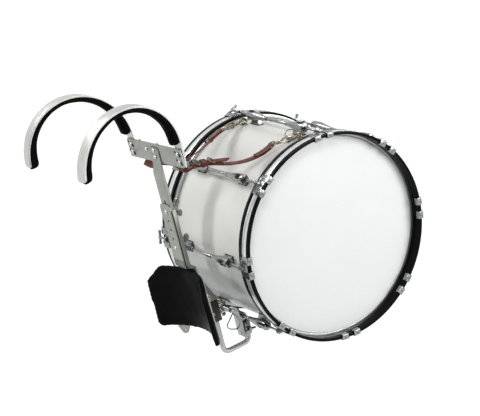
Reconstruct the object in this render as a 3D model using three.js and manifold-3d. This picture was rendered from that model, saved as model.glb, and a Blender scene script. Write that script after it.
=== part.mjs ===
// Marching bass drum with its shoulder carrier.
// Millimetres, +Z up. The drum's axis runs along Y, the player stands on the -X side,
// and the origin is the point between the shoulder pads where the carrier rests on the player.
import * as THREE from 'three';
import { mergeVertices } from 'three/addons/utils/BufferGeometryUtils.js';
import Module from 'manifold-3d';

const wasm = await Module();
wasm.setup();

// Clearances
const seat = 0.3;             // gap between pieces that touch
const runGap = 0.4;           // radial gap round a turning shaft
const overrun = 2;            // how far a cutting tool passes the face it cuts
const weld = 0.0001;          // corners nearer than this are one corner

// Drum shell and heads
const shellRadius = 254;
const shellLength = 356;
const shellWall = 7;
const edgeBevel = 4;          // bearing edge, cut back on the inside
const edgeRound = 1.5;        // bearing edge, eased on the outside
const edgeLand = 1;
const facets = 48;            // flats round the drum, six to each lug
const filmThickness = 0.8;
const collarDrop = 7;
const fleshWidth = 11;
const fleshThickness = 8.2;

// Counter hoops
const hoopWall = 8;
const hoopCatch = 2.3;        // how far the hoop reaches over the head's flesh hoop
const hoopWidth = 44;
const hoopStand = 29;         // from the shell's edge to the hoop's face
const hoopEase = 1.2;
const inlayStart = 8;         // from the hoop's face
const inlayWidth = 18;
const inlayDepth = 0.6;

// Tension hardware
const lugCount = 8;
const firstLugAngle = 10;     // degrees from +X toward +Z
const rodStand = 6.5;         // rod centre from the hoop's outside
const rodRadius = 3;
const rodDepth = 21;          // how far a rod reaches into its lug
const lugSpread = 88;         // bullet centre from the drum's middle
const bulletLength = 80;
const bulletRadius = 12.5;
const bulletNose = 5;
const bulletShoulder = 8;     // where the cone ends, past the bullet's middle
const lugTubeRadius = 4.6;
const lugFootLength = 26;
const lugFootWidth = 13;
const roundSides = 10;
const clawPitch = 38;         // between the two hooks of a claw
const clawWidth = 19;
const clawSheet = 3;
const clawReach = 12;         // inside the hoop
const clawLeg = 30;           // down the outside of the hoop
const clawEarThickness = 5;
const clawEarRise = 8;        // past the rod's centre
const clawEarWidth = 18;
const washerRadius = 6.2;
const washerThickness = 2.6;
const keyHeadSide = 6.4;
const keyHeadLength = 9;
const handleShank = 27;
const handleRadius = 3.8;
const handleLength = 38;
const handleTurns = [20, 75, -30, 50, 5, -60, 35, 80];   // rest angle of each T-handle in degrees

// Carrier as a whole, in its own leaned frame: x toward the drum, z up the spine,
// with its zero at the middle bolt of the cross plate
const lean = 15.9;            // degrees, top toward the player
const drumClear = 155;        // from the bolt to the shell, level
const drumBelow = 219;
const yokeTilt = -2.2;        // degrees, the cross plate sits a little higher at its near end
const yokeShift = 3;

// Cross plate
const plateLength = 268;
const plateHeight = 48;
const plateThickness = 5;
const plateRise = 2;          // plate centre above the bolt
const plateCorner = 4;
const plateFront = 4.3;
const slotLength = 31;
const slotWidth = 8;
const slotSlant = 20;         // degrees from the plate's length
const slotPitch = 21;         // between the two slots of one end
const archTravel = 11;        // each way along the slots
const boltRadius = 3;
const boltHeadRadius = 6;
const boltHead = 3.5;
const boltSides = 10;
const plateBoltSide = 29;     // the odd bolt beside the spine
const spineBoltPitch = 18;

// Shoulder arches and their pads
const archSpread = 118;       // leg centre from the carrier's middle
const archRadius = 136;       // inside of the strip
const archStrip = 7;
const archWidth = 30;
const archRise = 41;          // arch centre above the bolt
const archSteps = 26;
const toeOut = 4.9;           // degrees, the arch runs outward as it goes back
const leanOut = 5.4;          // degrees, and as it rises
const padWidth = 40;
const padThickness = 20;
const padCrown = 4;
const padTip = 9;             // past the strip's rear end
const padTipShare = 0.25;      // of the pad's thickness, left at its tip
const padSteps = 26;
const padSides = 14;

// Spine
const spineWidth = 43;
const spineDepth = 9;
const spineBack = 4;
const spineBottom = -254;
const forkGap = 1;
const forkTop = -122;         // top of the open slot for the clamp bolts
const lowerTop = -131;
const lowerSheet = 4;
const webCorner = 14;
const lowerFlange = 15;
const joggleTop = -284;
const joggleBottom = -306;
const holeTop = -152;
const holePitch = 24.5;
const holeCount = 5;
const holeRadius = 3.6;
const shankLength = 16;
const wingHub = 7.5;
const wingHeight = 14;
const wingSpan = 26;
const wingRise = 16;
const wingTip = 7;            // width of a wing at its tip
const wingSheet = 4.5;

// Belly plate and pad
const bellyRadius = 245;      // how the plate wraps round the player
const bellyTilt = -3;         // degrees, near side up
const bellyTop = -313;
const bellyBottom = -487;
const bellyHalf = 146;
const bellyTopHalf = 106;
const bellyShoulder = -352;
const bellyCorner = 10;
const bellyInset = 7;         // the plate is smaller than its pad all round
const bellyPadThickness = 12;
const bellyRim = 4;
const bellySheet = 3;
const bellyColumnCount = 22;
const bellyRowCount = 12;
const earSide = 68;
const earDrop = 15;
const earHalf = 22;
const earHole = 3;

// Clamp block, lower tube and shell bracket
const cheekSpan = 26;
const cheekSheet = 3;
const cheekTop = -326;
const blockTop = -420;
const blockHeight = 60;
const blockAhead = 47;        // tube centre from the bolt
const blockDepth = 25;
const blockEase = 2;
const tubeRadius = 7;
const sleeveAhead = 8.5;      // tube's end from the lug tube that the bracket grips
const sleeveDrop = 23.6;
const tubeRise = 55;          // length of the upward leg
const tubeBend = 16;
const tubeSides = 12;
const bracketWidth = 34;
const bracketSheet = 4;
const bracketRise = 25.4;     // plate's top above the lug tube
const bracketStand = 11.5;    // plate front ahead of the lug tube it grips
const gripLug = 5;            // lug whose tube is gripped, counted from zero
const gripRadius = 9.5;
const clampRadius = 12;
const clampLength = 34;
const screwRadius = 3;
const screwLength = 24;
const screwHub = 6;
const screwWing = 15;

// Sling strap
const strapWidth = 20;
const strapThickness = 3;
const strapSteps = 34;
// Points of the two strap runs from the drum's centre, chosen by hand: along X, Y and Z
const frontRun = [
  [-104, -137, 258], [-138, -128, 240], [-172, -119, 216], [-216, -113, 202], [-262, -108, 199],
  [-306, -102, 203], [-346, -95, 200], [-372, -90, 194], [-385, -64, 206],
  [-390.6, -24, 204], [-389, 12, 196], [-384, 48, 184], [-385, 88, 187],
];
const rearRun = [
  [-84, 134, 252], [-122, 118, 248], [-176, 84, 236], [-236, 40, 221], [-300, -8, 209],
  [-350, -46, 205], [-380, -67, 206],
];

// Colours and finishes
const finishes = {
  shell: [0xdededc, 0.25, 0], film: [0xf0f0f0, 0.45, 0], hoop: [0x101010, 0.3, 0],
  chrome: [0xc9cbca, 0.18, 1], alloy: [0xa2a49a, 0.5, 0.6], silver: [0xc8c8c3, 0.4, 0.6],
  pad: [0x121212, 0.9, 0], block: [0x0c0c0c, 0.5, 0], leather: [0x7d463a, 0.6, 0],
};

const radians = THREE.MathUtils.degToRad;
const root = new THREE.Group();
const face = shellLength / 2 + hoopStand;      // the hoops' outer faces
const fleshRadius = shellRadius + seat + filmThickness + fleshThickness;
const hoopInside = fleshRadius - hoopCatch;
const hoopRadius = hoopInside + hoopWall;
const rodCircle = hoopRadius + rodStand;
const flatRadius = radius => radius * Math.cos(Math.PI / facets);
// Corner radius of a hole whose flats clear a round bar
const openTo = radius => radius / Math.cos(Math.PI / roundSides);
const turnStep = 360 / lugCount;

// Solids
function toSolid(geometry) {
  const bare = geometry.clone();
  bare.deleteAttribute('normal');
  bare.deleteAttribute('uv');
  const merged = mergeVertices(bare, weld);
  return new wasm.Manifold(new wasm.Mesh({
    numProp: 3,
    vertProperties: new Float32Array(merged.attributes.position.array),
    triVerts: new Uint32Array(merged.index.array),
  }));
}

function toGeometry(solid) {
  const mesh = solid.getMesh();
  const geometry = new THREE.BufferGeometry();
  geometry.setAttribute('position', new THREE.BufferAttribute(mesh.vertProperties, 3));
  geometry.setIndex(new THREE.BufferAttribute(mesh.triVerts, 1));
  return geometry;
}

const join = (...pieces) => toGeometry(pieces.map(toSolid).reduce((sum, next) => sum.add(next)));
const cut = (piece, ...tools) => toGeometry(
  tools.map(toSolid).reduce((left, tool) => left.subtract(tool), toSolid(piece)));
const common = (piece, other) => toGeometry(toSolid(piece).intersect(toSolid(other)));

// Revolves a closed outline of [radius, along Y] pairs round the Y axis
function revolve(outline, sides, startAngle = 0) {
  const points = outline.map(([radius, along]) => new THREE.Vector2(radius, along));
  if (THREE.ShapeUtils.isClockWise(points)) points.reverse();
  const onAxis = points.findIndex(point => point.x === 0);
  const ordered = onAxis < 0 ? [...points, points[0]] : axisFirst(points);
  return new THREE.LatheGeometry(ordered, sides, startAngle);
}

// Starts an outline at the axis point that follows another axis point
function axisFirst(points) {
  const start = points.findIndex((point, i) => point.x === 0 && points.at(i - 1).x === 0);
  return [...points.slice(start), ...points.slice(0, start)];
}

function outlineShape(points) {
  return new THREE.Shape(points.map(([x, y]) => new THREE.Vector2(x, y)));
}

const slab = (shape, depth) => new THREE.ExtrudeGeometry(
  shape, { depth, bevelEnabled: false, curveSegments: 5 });

// Lays a slab drawn in X and Y so that its drawing lies across the spine: Y and Z, thick along X
const acrossSpine = new THREE.Matrix4().makeBasis(
  new THREE.Vector3(0, 1, 0), new THREE.Vector3(0, 0, 1), new THREE.Vector3(1, 0, 0));
// And beside the spine: X and Z, thick along -Y
const besideSpine = new THREE.Matrix4().makeBasis(
  new THREE.Vector3(1, 0, 0), new THREE.Vector3(0, 0, 1), new THREE.Vector3(0, -1, 0));

function across(shape, from, depth) {
  return slab(shape, depth).applyMatrix4(acrossSpine).translate(from, 0, 0);
}

function beside(shape, from, depth) {
  return slab(shape, depth).applyMatrix4(besideSpine).translate(0, from, 0);
}

function block(low, high) {
  const size = high.map((value, i) => value - low[i]);
  const middle = high.map((value, i) => (value + low[i]) / 2);
  return new THREE.BoxGeometry(...size).translate(...middle);
}

// A round bar along X, Y or Z
function bar(radius, from, to, axis, sides = roundSides) {
  const geometry = new THREE.CylinderGeometry(radius, radius, to - from, sides)
    .translate(0, (from + to) / 2, 0);
  if (axis === 'x') geometry.rotateZ(-Math.PI / 2);
  if (axis === 'z') geometry.rotateX(Math.PI / 2);
  return geometry;
}

// A rounded rectangle round a centre, with optional slots cut in it
function roundedRectangle(width, height, radius, centreY = 0) {
  const [left, right, low, high] = [-width / 2, width / 2, centreY - height / 2, centreY + height / 2];
  const shape = new THREE.Shape();
  shape.moveTo(left + radius, low);
  shape.lineTo(right - radius, low);
  shape.absarc(right - radius, low + radius, radius, -Math.PI / 2, 0);
  shape.lineTo(right, high - radius);
  shape.absarc(right - radius, high - radius, radius, 0, Math.PI / 2);
  shape.lineTo(left + radius, high);
  shape.absarc(left + radius, high - radius, radius, Math.PI / 2, Math.PI);
  shape.lineTo(left, low + radius);
  shape.absarc(left + radius, low + radius, radius, Math.PI, Math.PI * 1.5);
  return shape;
}

// Skins a row of rings, each a list of [x, y, z], and closes both ends
function loft(rings) {
  const sides = rings[0].length;
  const middleOf = ring => [0, 1, 2].map(axis => ring.reduce((sum, point) => sum + point[axis], 0) / sides);
  const positions = [...rings.flat(2), ...middleOf(rings[0]), ...middleOf(rings.at(-1))];
  const index = [];
  for (let r = 0; r < rings.length - 1; r += 1) {
    for (let s = 0; s < sides; s += 1) {
      const next = (s + 1) % sides;
      const [a, b, c, d] = [r * sides + s, r * sides + next, (r + 1) * sides + s, (r + 1) * sides + next];
      index.push(a, b, c, b, d, c);
    }
  }
  const firstMiddle = rings.length * sides;
  for (let s = 0; s < sides; s += 1) {
    const next = (s + 1) % sides;
    const last = (rings.length - 1) * sides;
    index.push(firstMiddle, next, s, firstMiddle + 1, last + s, last + next);
  }
  const geometry = new THREE.BufferGeometry();
  geometry.setAttribute('position', new THREE.Float32BufferAttribute(positions, 3));
  geometry.setIndex(index);
  return facesOutward(geometry) ? geometry : geometry.setIndex(index.reverse());
}

function facesOutward(geometry) {
  const { attributes, index } = geometry;
  const corner = i => new THREE.Vector3().fromBufferAttribute(attributes.position, index.getX(i));
  let volume = 0;
  for (let i = 0; i < index.count; i += 3) {
    volume += corner(i).dot(corner(i + 1).cross(corner(i + 2)));
  }
  return volume > 0;
}

function addMesh(parent, name, geometry, finish) {
  const [color, roughness, metalness] = finishes[finish];
  const mesh = new THREE.Mesh(geometry, new THREE.MeshStandardMaterial({ color, roughness, metalness }));
  mesh.name = name;
  parent.add(mesh);
  return mesh;
}

// Drum, with the middle of a flat toward +X
const flatStart = Math.PI / 2 + Math.PI / facets;

function makeShell() {
  const end = shellLength / 2;
  const inner = shellRadius - shellWall;
  const half = [
    [inner, end - edgeBevel], [shellRadius - edgeRound - edgeLand, end], [shellRadius - edgeRound, end],
    [shellRadius, end - edgeRound],
  ];
  const mirrored = half.map(([radius, along]) => [radius, -along]).reverse();
  return revolve([...half, ...mirrored], facets, flatStart);
}

function makeHead() {
  const edge = shellLength / 2 + seat;
  const top = edge + filmThickness;
  const tuck = shellRadius + seat;
  const fleshTop = edge - collarDrop + fleshWidth / 2;
  const fleshLow = fleshTop - fleshWidth;
  return revolve([
    [0, edge], [0, top], [shellRadius - edgeRound, top], [tuck + filmThickness, top - edgeRound],
    [tuck + filmThickness, fleshTop], [fleshRadius, fleshTop], [fleshRadius, fleshLow],
    [tuck, fleshLow], [tuck, edge - edgeRound], [tuck - edgeRound, edge],
  ], facets, flatStart);
}

function makeHoop() {
  const low = face - hoopWidth;
  const step = shellLength / 2 + seat - collarDrop + fleshWidth / 2 + seat;
  const groove = hoopRadius - inlayDepth;
  const [inlayTop, inlayLow] = [face - inlayStart, face - inlayStart - inlayWidth];
  return revolve([
    [hoopInside, face], [hoopRadius - hoopEase, face], [hoopRadius, face - hoopEase],
    [hoopRadius, inlayTop], [groove, inlayTop], [groove, inlayLow], [hoopRadius, inlayLow],
    [hoopRadius, low], [fleshRadius + seat, low], [fleshRadius + seat, step], [hoopInside, step],
  ], facets, flatStart);
}

// Lugs, claws and rods are drawn at the +X side of the drum: x outward, y along the drum
function makeBullet() {
  const half = bulletLength / 2;
  return revolve([
    [0, -half], [bulletNose, -half], [bulletRadius, bulletShoulder], [bulletRadius, half - edgeRound],
    [bulletRadius - edgeRound, half], [0, half],
  ], roundSides).translate(0, lugSpread, 0);
}

function makeBore() {
  const mouth = lugSpread + bulletLength / 2;
  return bar(openTo(rodRadius + runGap), mouth - rodDepth - overrun, mouth + overrun, 'y')
    .translate(rodCircle, 0, 0);
}

function makeLug() {
  const foot = flatRadius(shellRadius) + seat;
  const [footMiddle, footHalf] = [lugSpread + lugFootLength / 4, lugFootLength / 2];
  const pedestal = slab(outlineShape([
    [foot, footMiddle - footHalf], [rodCircle, footMiddle - footHalf + bulletNose],
    [rodCircle, footMiddle + footHalf - bulletNose], [foot, footMiddle + footHalf],
  ]), lugFootWidth).translate(0, 0, -lugFootWidth / 2);
  const end = cut(join(pedestal, makeBullet().translate(rodCircle, 0, 0)), makeBore());
  const other = end.clone().rotateX(Math.PI);
  const tube = bar(lugTubeRadius, -lugSpread, lugSpread, 'y').translate(rodCircle, 0, 0);
  return join(end, other, tube);
}

function makeHook() {
  const outer = hoopRadius + seat;
  const inner = flatRadius(hoopInside) - seat;
  const [near, far] = [face + seat, face + seat + clawSheet];
  const profile = outlineShape([
    [outer, near - clawLeg], [outer + clawSheet, near - clawLeg], [outer + clawSheet, far],
    [inner - clawSheet, far], [inner - clawSheet, far - clawReach], [inner, far - clawReach],
    [inner, near], [outer, near],
  ]);
  return slab(profile, clawWidth).translate(0, 0, -clawWidth / 2);
}

function makeClaw() {
  const swing = clawPitch / 2 / hoopRadius;
  const hooks = [swing, -swing].map(angle => makeHook().rotateY(angle));
  const low = face + seat - clawLeg;
  const inside = hoopRadius + seat;
  const high = low + clawEarThickness;
  const bridge = block([inside, low, -clawPitch / 2], [inside + clawSheet, high, clawPitch / 2]);
  const ear = block([inside, low, -clawEarWidth / 2], [rodCircle + clawEarRise, high, clawEarWidth / 2]);
  const hole = bar(openTo(rodRadius + runGap), low - overrun, high + overrun, 'y')
    .translate(rodCircle, 0, 0);
  return cut(join(...hooks, bridge, ear), hole);
}

function makeRod(handled, turn) {
  const washer = face + seat - clawLeg + clawEarThickness + seat;
  const bottom = lugSpread + bulletLength / 2 - rodDepth;
  const shaft = bar(rodRadius, bottom, washer + washerThickness, 'y');
  const flange = bar(washerRadius, washer, washer + washerThickness, 'y');
  const top = washer + washerThickness;
  if (!handled) {
    const half = keyHeadSide / 2;
    return join(shaft, flange, block([-half, top - seat, -half], [half, top + keyHeadLength, half]));
  }
  const barCentre = top + handleShank + handleRadius;
  const shank = bar(handleRadius, top - seat, barCentre, 'y');
  const grip = bar(handleRadius, -handleLength / 2, handleLength / 2, 'z').translate(0, barCentre, 0);
  return join(shaft, flange, shank, grip).rotateY(radians(turn));
}

function addDrum(drum) {
  const hull = new THREE.Group();
  hull.rotation.y = -radians(firstLugAngle);
  drum.add(hull);
  addMesh(hull, 'shell', makeShell(), 'shell');
  const ends = [['rear', 0], ['front', Math.PI]];
  for (const [end, flip] of ends) {
    addMesh(hull, `head_${end}`, makeHead(), 'film').rotation.x = flip;
    addMesh(hull, `hoop_${end}`, makeHoop(), 'hoop').rotation.x = flip;
  }
  for (let i = 0; i < lugCount; i += 1) {
    const station = new THREE.Group();
    station.rotation.y = -radians(firstLugAngle + i * turnStep);
    drum.add(station);
    addMesh(station, `lug_${i + 1}`, makeLug(), 'chrome');
    for (const [end, flip] of ends) {
      const side = new THREE.Group();
      side.rotation.x = flip;
      station.add(side);
      addMesh(side, `claw_${end}_${i + 1}`, makeClaw(), 'chrome');
      const rod = addMesh(side, `rod_${end}_${i + 1}`, makeRod(end === 'rear', handleTurns[i]), 'chrome');
      rod.position.x = rodCircle;
    }
  }
}

// Cross plate with the slots that the arches are set in
function slotShape(middleY, middleZ) {
  const straight = (slotLength - slotWidth) / 2;
  const slant = radians(slotSlant);
  const end = side => [
    middleY + side * straight * Math.cos(slant), middleZ + side * straight * Math.sin(slant)];
  const path = new THREE.Path();
  path.absarc(...end(1), slotWidth / 2, slant - Math.PI / 2, slant + Math.PI / 2);
  path.absarc(...end(-1), slotWidth / 2, slant + Math.PI / 2, slant + Math.PI * 1.5);
  return path;
}

function makeCrossPlate() {
  const shape = roundedRectangle(plateLength, plateHeight, plateCorner, plateRise);
  for (const side of [-1, 1]) {
    for (const level of [-1, 1]) {
      shape.holes.push(slotShape(side * archSpread, plateRise + level * slotPitch / 2));
    }
  }
  const plate = across(shape, plateFront, plateThickness);
  const bolt = bar(boltHeadRadius, plateFront - boltHead, plateFront + seat, 'x', boltSides);
  return join(plate, bolt.translate(0, plateBoltSide - yokeShift, 0));
}

// Shoulder arch: a flat strip bent to a half circle over a straight leg
const legInside = plateFront + plateThickness + seat;
const archCentre = legInside - archRadius;

function archOutline(inner, outer, low, steps, tip) {
  const end = Math.PI + tip / archRadius;
  const turn = (radius, i) => [
    archCentre + radius * Math.cos(end * i / steps), archRise + radius * Math.sin(end * i / steps)];
  const counts = Array.from({ length: steps + 1 }, (_, i) => i);
  return [
    [archCentre + inner, low], [archCentre + outer, low],
    ...counts.map(i => turn(outer, i)), ...counts.reverse().map(i => turn(inner, i)),
  ];
}

function splay(side) {
  const [toe, tilt] = [Math.tan(radians(toeOut)), Math.tan(radians(leanOut))];
  return new THREE.Matrix4().set(
    1, 0, 0, 0,
    -side * toe, 1, side * tilt, side * (archSpread + toe * legInside),
    0, 0, 1, 0,
    0, 0, 0, 1);
}

function makeArch(side) {
  const low = plateRise - plateHeight / 2;
  const strip = beside(outlineShape(archOutline(archRadius, archRadius + archStrip, low, archSteps, 0)),
    archWidth / 2, archWidth).applyMatrix4(splay(side));
  const back = legInside + archStrip;
  const bolts = [-1, 1].flatMap(level => {
    const place = [0, side * archSpread, plateRise + level * slotPitch / 2];
    return [
      bar(boltRadius, plateFront - seat - boltHead, back, 'x', boltSides).translate(...place),
      bar(boltHeadRadius, plateFront - seat - boltHead, plateFront - seat, 'x', boltSides)
        .translate(...place),
      bar(boltHeadRadius, back - seat, back + boltHead, 'x', 6).translate(...place),
    ];
  });
  return join(strip, ...bolts);
}

// Crowned pad that lines the arch, from just above the plate to past the strip's rear end
function makeArchPad(side) {
  const climb = archTravel * Math.sin(radians(slotSlant));
  const low = plateRise + plateHeight / 2 + climb + seat;
  const straight = archRise - low;
  const run = straight + archRadius * Math.PI + padTip;
  const rings = Array.from({ length: padSteps + 1 }, (_, i) => {
    const along = run * i / padSteps;
    const fade = Math.min(1, (run - along) / padThickness + padTipShare);
    return padRing(along - straight, fade);
  });
  return loft(rings).applyMatrix4(splay(side));
}

function padRing(along, fade) {
  const angle = Math.max(0, along / archRadius);
  const drop = Math.min(0, along);
  const top = archRadius - seat;
  return Array.from({ length: padSides }, (_, s) => {
    const turn = (s + 0.5) / padSides * Math.PI * 2;
    const square = value => Math.sign(value) * Math.abs(value) ** 0.5;
    const deep = (1 - square(Math.cos(turn))) / 2;
    const crown = deep > 0.5 ? padCrown * Math.abs(Math.sin(turn)) ** 2 : 0;
    const inward = Math.max(0, (padThickness * deep - crown)) * fade;
    const radius = top - inward;
    const wide = square(Math.sin(turn)) * padWidth / 2 * (0.7 + 0.3 * fade);
    return [archCentre + radius * Math.cos(angle), wide, archRise + drop + radius * Math.sin(angle)];
  });
}

function addYoke(carrier) {
  const yoke = new THREE.Group();
  yoke.rotation.x = radians(yokeTilt);
  yoke.position.y = yokeShift;
  carrier.add(yoke);
  addMesh(yoke, 'cross_plate', makeCrossPlate(), 'alloy');
  for (const [name, side] of [['near', -1], ['far', 1]]) {
    addMesh(yoke, `arch_${name}`, makeArch(side), 'silver');
    addMesh(yoke, `arch_pad_${name}`, makeArchPad(side), 'pad');
  }
}

// Spine: an upper bar with an open slot, and a lower channel that slides over it
function makeSpineBar() {
  const top = plateRise + plateHeight / 2;
  const [half, slot] = [spineWidth / 2, boltRadius + forkGap];
  const fork = outlineShape([
    [-half, top], [-half, spineBottom], [-slot, spineBottom], [-slot, forkTop - slot]]);
  fork.absarc(0, forkTop - slot, slot, Math.PI, 0, true);
  for (const [y, z] of [[slot, spineBottom], [half, spineBottom], [half, top]]) fork.lineTo(y, z);
  const front = spineBack - spineDepth;
  const heads = [-1, 1].map(level => bar(boltHeadRadius, front - boltHead, front + seat, 'x', boltSides)
    .translate(0, 0, level * spineBoltPitch / 2));
  return join(across(fork, front, spineDepth), ...heads);
}

// Where the drum's axis lies in the carrier's frame
const leanSin = Math.sin(radians(lean));
const leanCos = Math.cos(radians(lean));
const drumAhead = shellRadius + drumClear;
const axisAhead = drumAhead * leanCos - drumBelow * leanSin;
const axisUp = -drumAhead * leanSin - drumBelow * leanCos;
const gripTurn = radians(firstLugAngle + gripLug * turnStep - lean);
const gripAhead = axisAhead + rodCircle * Math.cos(gripTurn);
const gripUp = axisUp + rodCircle * Math.sin(gripTurn);
const tubeAhead = gripAhead + sleeveAhead;
const tubeTop = gripUp - sleeveDrop;
const tubeBottom = tubeTop - tubeRise;
const blockBottom = blockTop - blockHeight;

const webFront = spineBack - spineDepth - seat - lowerSheet;
const lowerWidth = spineWidth + 2 * (seat + lowerSheet);
const bellyBack = bellyPadThickness + seat;
const bellyMiddle = (bellyTop + bellyBottom) / 2;
const tailFront = bellyBack + bellySheet + seat;
const tailBack = tailFront + lowerSheet;

function makeLowerBar() {
  const web = roundedRectangle(lowerWidth, lowerTop - joggleTop, webCorner, (lowerTop + joggleTop) / 2);
  for (let i = 1; i < holeCount - 1; i += 1) {
    web.holes.push(new THREE.Path().absarc(0, holeTop - i * holePitch, holeRadius, 0, Math.PI * 2));
  }
  const flange = side => {
    const inner = side * (spineWidth / 2 + seat);
    const [low, high] = [Math.min(inner, side * lowerWidth / 2), Math.max(inner, side * lowerWidth / 2)];
    return block([webFront, low, joggleTop], [webFront + lowerFlange, high, lowerTop - webCorner]);
  };
  const step = lowerSheet;
  const joggle = beside(outlineShape([
    [webFront, joggleTop + webCorner], [webFront, joggleTop], [tailFront, joggleBottom],
    [tailFront, blockBottom], [tailBack, blockBottom], [tailBack, joggleBottom + step],
    [webFront + step, joggleTop + step], [webFront + step, joggleTop + webCorner],
  ]), lowerWidth / 2, lowerWidth);
  const shankEnd = webFront + lowerSheet + seat + spineDepth + shankLength;
  const bolts = [0, holeCount - 1].flatMap(i => {
    const level = holeTop - i * holePitch;
    return [
      bar(boltHeadRadius, webFront - boltHead, webFront + seat, 'x', boltSides).translate(0, 0, level),
      bar(boltRadius, webFront - seat, shankEnd, 'x', boltSides).translate(0, 0, level),
    ];
  });
  return join(across(web, webFront, lowerSheet), flange(-1), flange(1), joggle, ...makeCheeks(), ...bolts);
}

// The two cheeks that carry the clamp block behind the belly plate
function makeCheeks() {
  const ahead = blockAhead + blockDepth / 2;
  const outline = outlineShape([
    [tailBack - seat, cheekTop], [ahead, blockTop + seat + blockEase], [ahead, blockTop + seat],
    [tailBack - seat, blockTop + seat],
  ]);
  return [-1, 1].map(side => beside(outline, side * cheekSpan / 2 + cheekSheet / 2, cheekSheet));
}

function makeWingNut() {
  const start = spineBack + seat;
  const hub = bar(wingHub, start, start + wingHeight, 'x', roundSides);
  const [low, high] = [start + wingHeight - wingRise / 2, start + wingHeight + wingRise];
  const wing = beside(outlineShape([
    [low, wingHub / 2], [high - wingTip, wingSpan], [high, wingSpan - wingTip], [high, wingHub],
    [start + wingHeight, 0], [high, -wingHub], [high, wingTip - wingSpan], [high - wingTip, -wingSpan],
    [low, -wingHub / 2],
  ]), wingSheet / 2, wingSheet);
  const bore = bar(openTo(boltRadius + runGap), start - overrun, high, 'x', roundSides);
  return cut(join(hub, wing), bore);
}

// Belly plate and pad, both wrapped round the player
function makeBellyPlate() {
  const [inner, outer] = [bellyRadius, bellyRadius + bellySheet];
  const reach = Math.asin((bellyHalf + overrun) / inner);
  const strip = new THREE.Shape();
  strip.absarc(bellyBack - inner, 0, outer, -reach, reach);
  strip.absarc(bellyBack - inner, 0, inner, reach, -reach, true);
  const low = bellyBottom - earDrop - overrun;
  const sheet = new THREE.ExtrudeGeometry(strip, {
    depth: bellyTop - low, bevelEnabled: false, curveSegments: bellyColumnCount,
  }).translate(0, 0, low);
  const right = [
    [earSide - earHalf, bellyBottom + bellyInset], [earSide, bellyBottom - earDrop],
    [earSide + earHalf, bellyBottom + bellyInset], [bellyHalf - bellyInset, bellyBottom + bellyInset],
    [bellyHalf - bellyInset, bellyShoulder], [bellyTopHalf - bellyInset, bellyTop - bellyInset],
  ];
  const left = right.map(([y, z]) => [-y, z]).reverse();
  const outline = across(outlineShape([...right, ...left]), -bellyRadius, 2 * bellyRadius);
  const holes = [-1, 1].map(side => bar(earHole, -bellyRadius, bellyRadius, 'x', boltSides)
    .translate(0, side * earSide, bellyBottom - earHole));
  return cut(common(sheet, outline), ...holes);
}

function makeBellyPad() {
  const rings = Array.from({ length: bellyColumnCount + 1 }, (_, i) => {
    const share = Math.sin(Math.PI * (i / bellyColumnCount - 0.5));
    return bellyRing(share);
  });
  return loft(rings);
}

function bellyRing(share) {
  const y = share * bellyHalf;
  const side = Math.max(0, (Math.abs(y) - bellyTopHalf) / (bellyHalf - bellyTopHalf));
  const top = bellyTop + side * (bellyShoulder - bellyTop);
  const past = Math.max(0, Math.abs(y) - bellyHalf + bellyCorner);
  const bottom = bellyBottom + bellyCorner - Math.sqrt(bellyCorner ** 2 - past ** 2);
  const back = bellyBack - bellyRadius - seat + Math.sqrt(bellyRadius ** 2 - y * y);
  const across = (1 - Math.abs(share) ** 8) ** 0.5;
  const front = Array.from({ length: bellyRowCount + 1 }, (_, row) => {
    const level = Math.sin(Math.PI * (row / bellyRowCount - 0.5));
    const swell = (1 - level ** 8) ** 0.5 * across;
    const thick = bellyRim + (bellyPadThickness - bellyRim) * swell;
    return [back - thick, y, (top + bottom) / 2 + level * (top - bottom) / 2];
  });
  const inset = bellyRim / 2;
  return [...front, [back, y, top - inset], [back, y, bottom + inset]];
}

// Sweeps a section of [aside, outward] pairs along points
function sweep(points, outwardAt, section) {
  const rings = points.map((point, i) => {
    const [before, after] = [points[Math.max(i - 1, 0)], points[Math.min(i + 1, points.length - 1)]];
    const tangent = after.clone().sub(before).normalize();
    const aside = new THREE.Vector3().crossVectors(tangent, outwardAt(point)).normalize();
    const outward = new THREE.Vector3().crossVectors(aside, tangent);
    return section.map(([a, b]) => point.clone()
      .addScaledVector(aside, a).addScaledVector(outward, b).toArray());
  });
  return loft(rings);
}

const roundSection = radius => Array.from({ length: tubeSides }, (_, i) => {
  const turn = i / tubeSides * Math.PI * 2;
  return [radius * Math.cos(turn), radius * Math.sin(turn)];
});

// Clamp block with the bent tube that it holds
function makeLowerTube() {
  const corners = [
    [blockAhead, blockTop - blockEase], [blockAhead, tubeBottom], [tubeAhead, tubeBottom],
    [tubeAhead, tubeTop],
  ].map(([x, z]) => new THREE.Vector3(x, 0, z));
  const path = new THREE.CurvePath();
  let from = corners[0];
  for (let i = 1; i < corners.length - 1; i += 1) {
    const enter = corners[i].clone().add(corners[i - 1].clone().sub(corners[i]).setLength(tubeBend));
    const leave = corners[i].clone().add(corners[i + 1].clone().sub(corners[i]).setLength(tubeBend));
    path.add(new THREE.LineCurve3(from, enter));
    path.add(new THREE.QuadraticBezierCurve3(enter, corners[i], leave));
    from = leave;
  }
  path.add(new THREE.LineCurve3(from, corners.at(-1)));
  const tube = sweep(path.getPoints(6), () => new THREE.Vector3(0, 1, 0), roundSection(tubeRadius));
  const half = cheekSpan / 2 + cheekSheet / 2;
  const [back, ahead] = [tailBack + seat, blockAhead + blockDepth / 2];
  const body = beside(outlineShape([
    [back, blockBottom], [ahead, blockBottom], [ahead, blockTop - blockEase],
    [ahead - blockEase, blockTop], [back, blockTop],
  ]), half, 2 * half);
  return join(tube, body);
}

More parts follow.
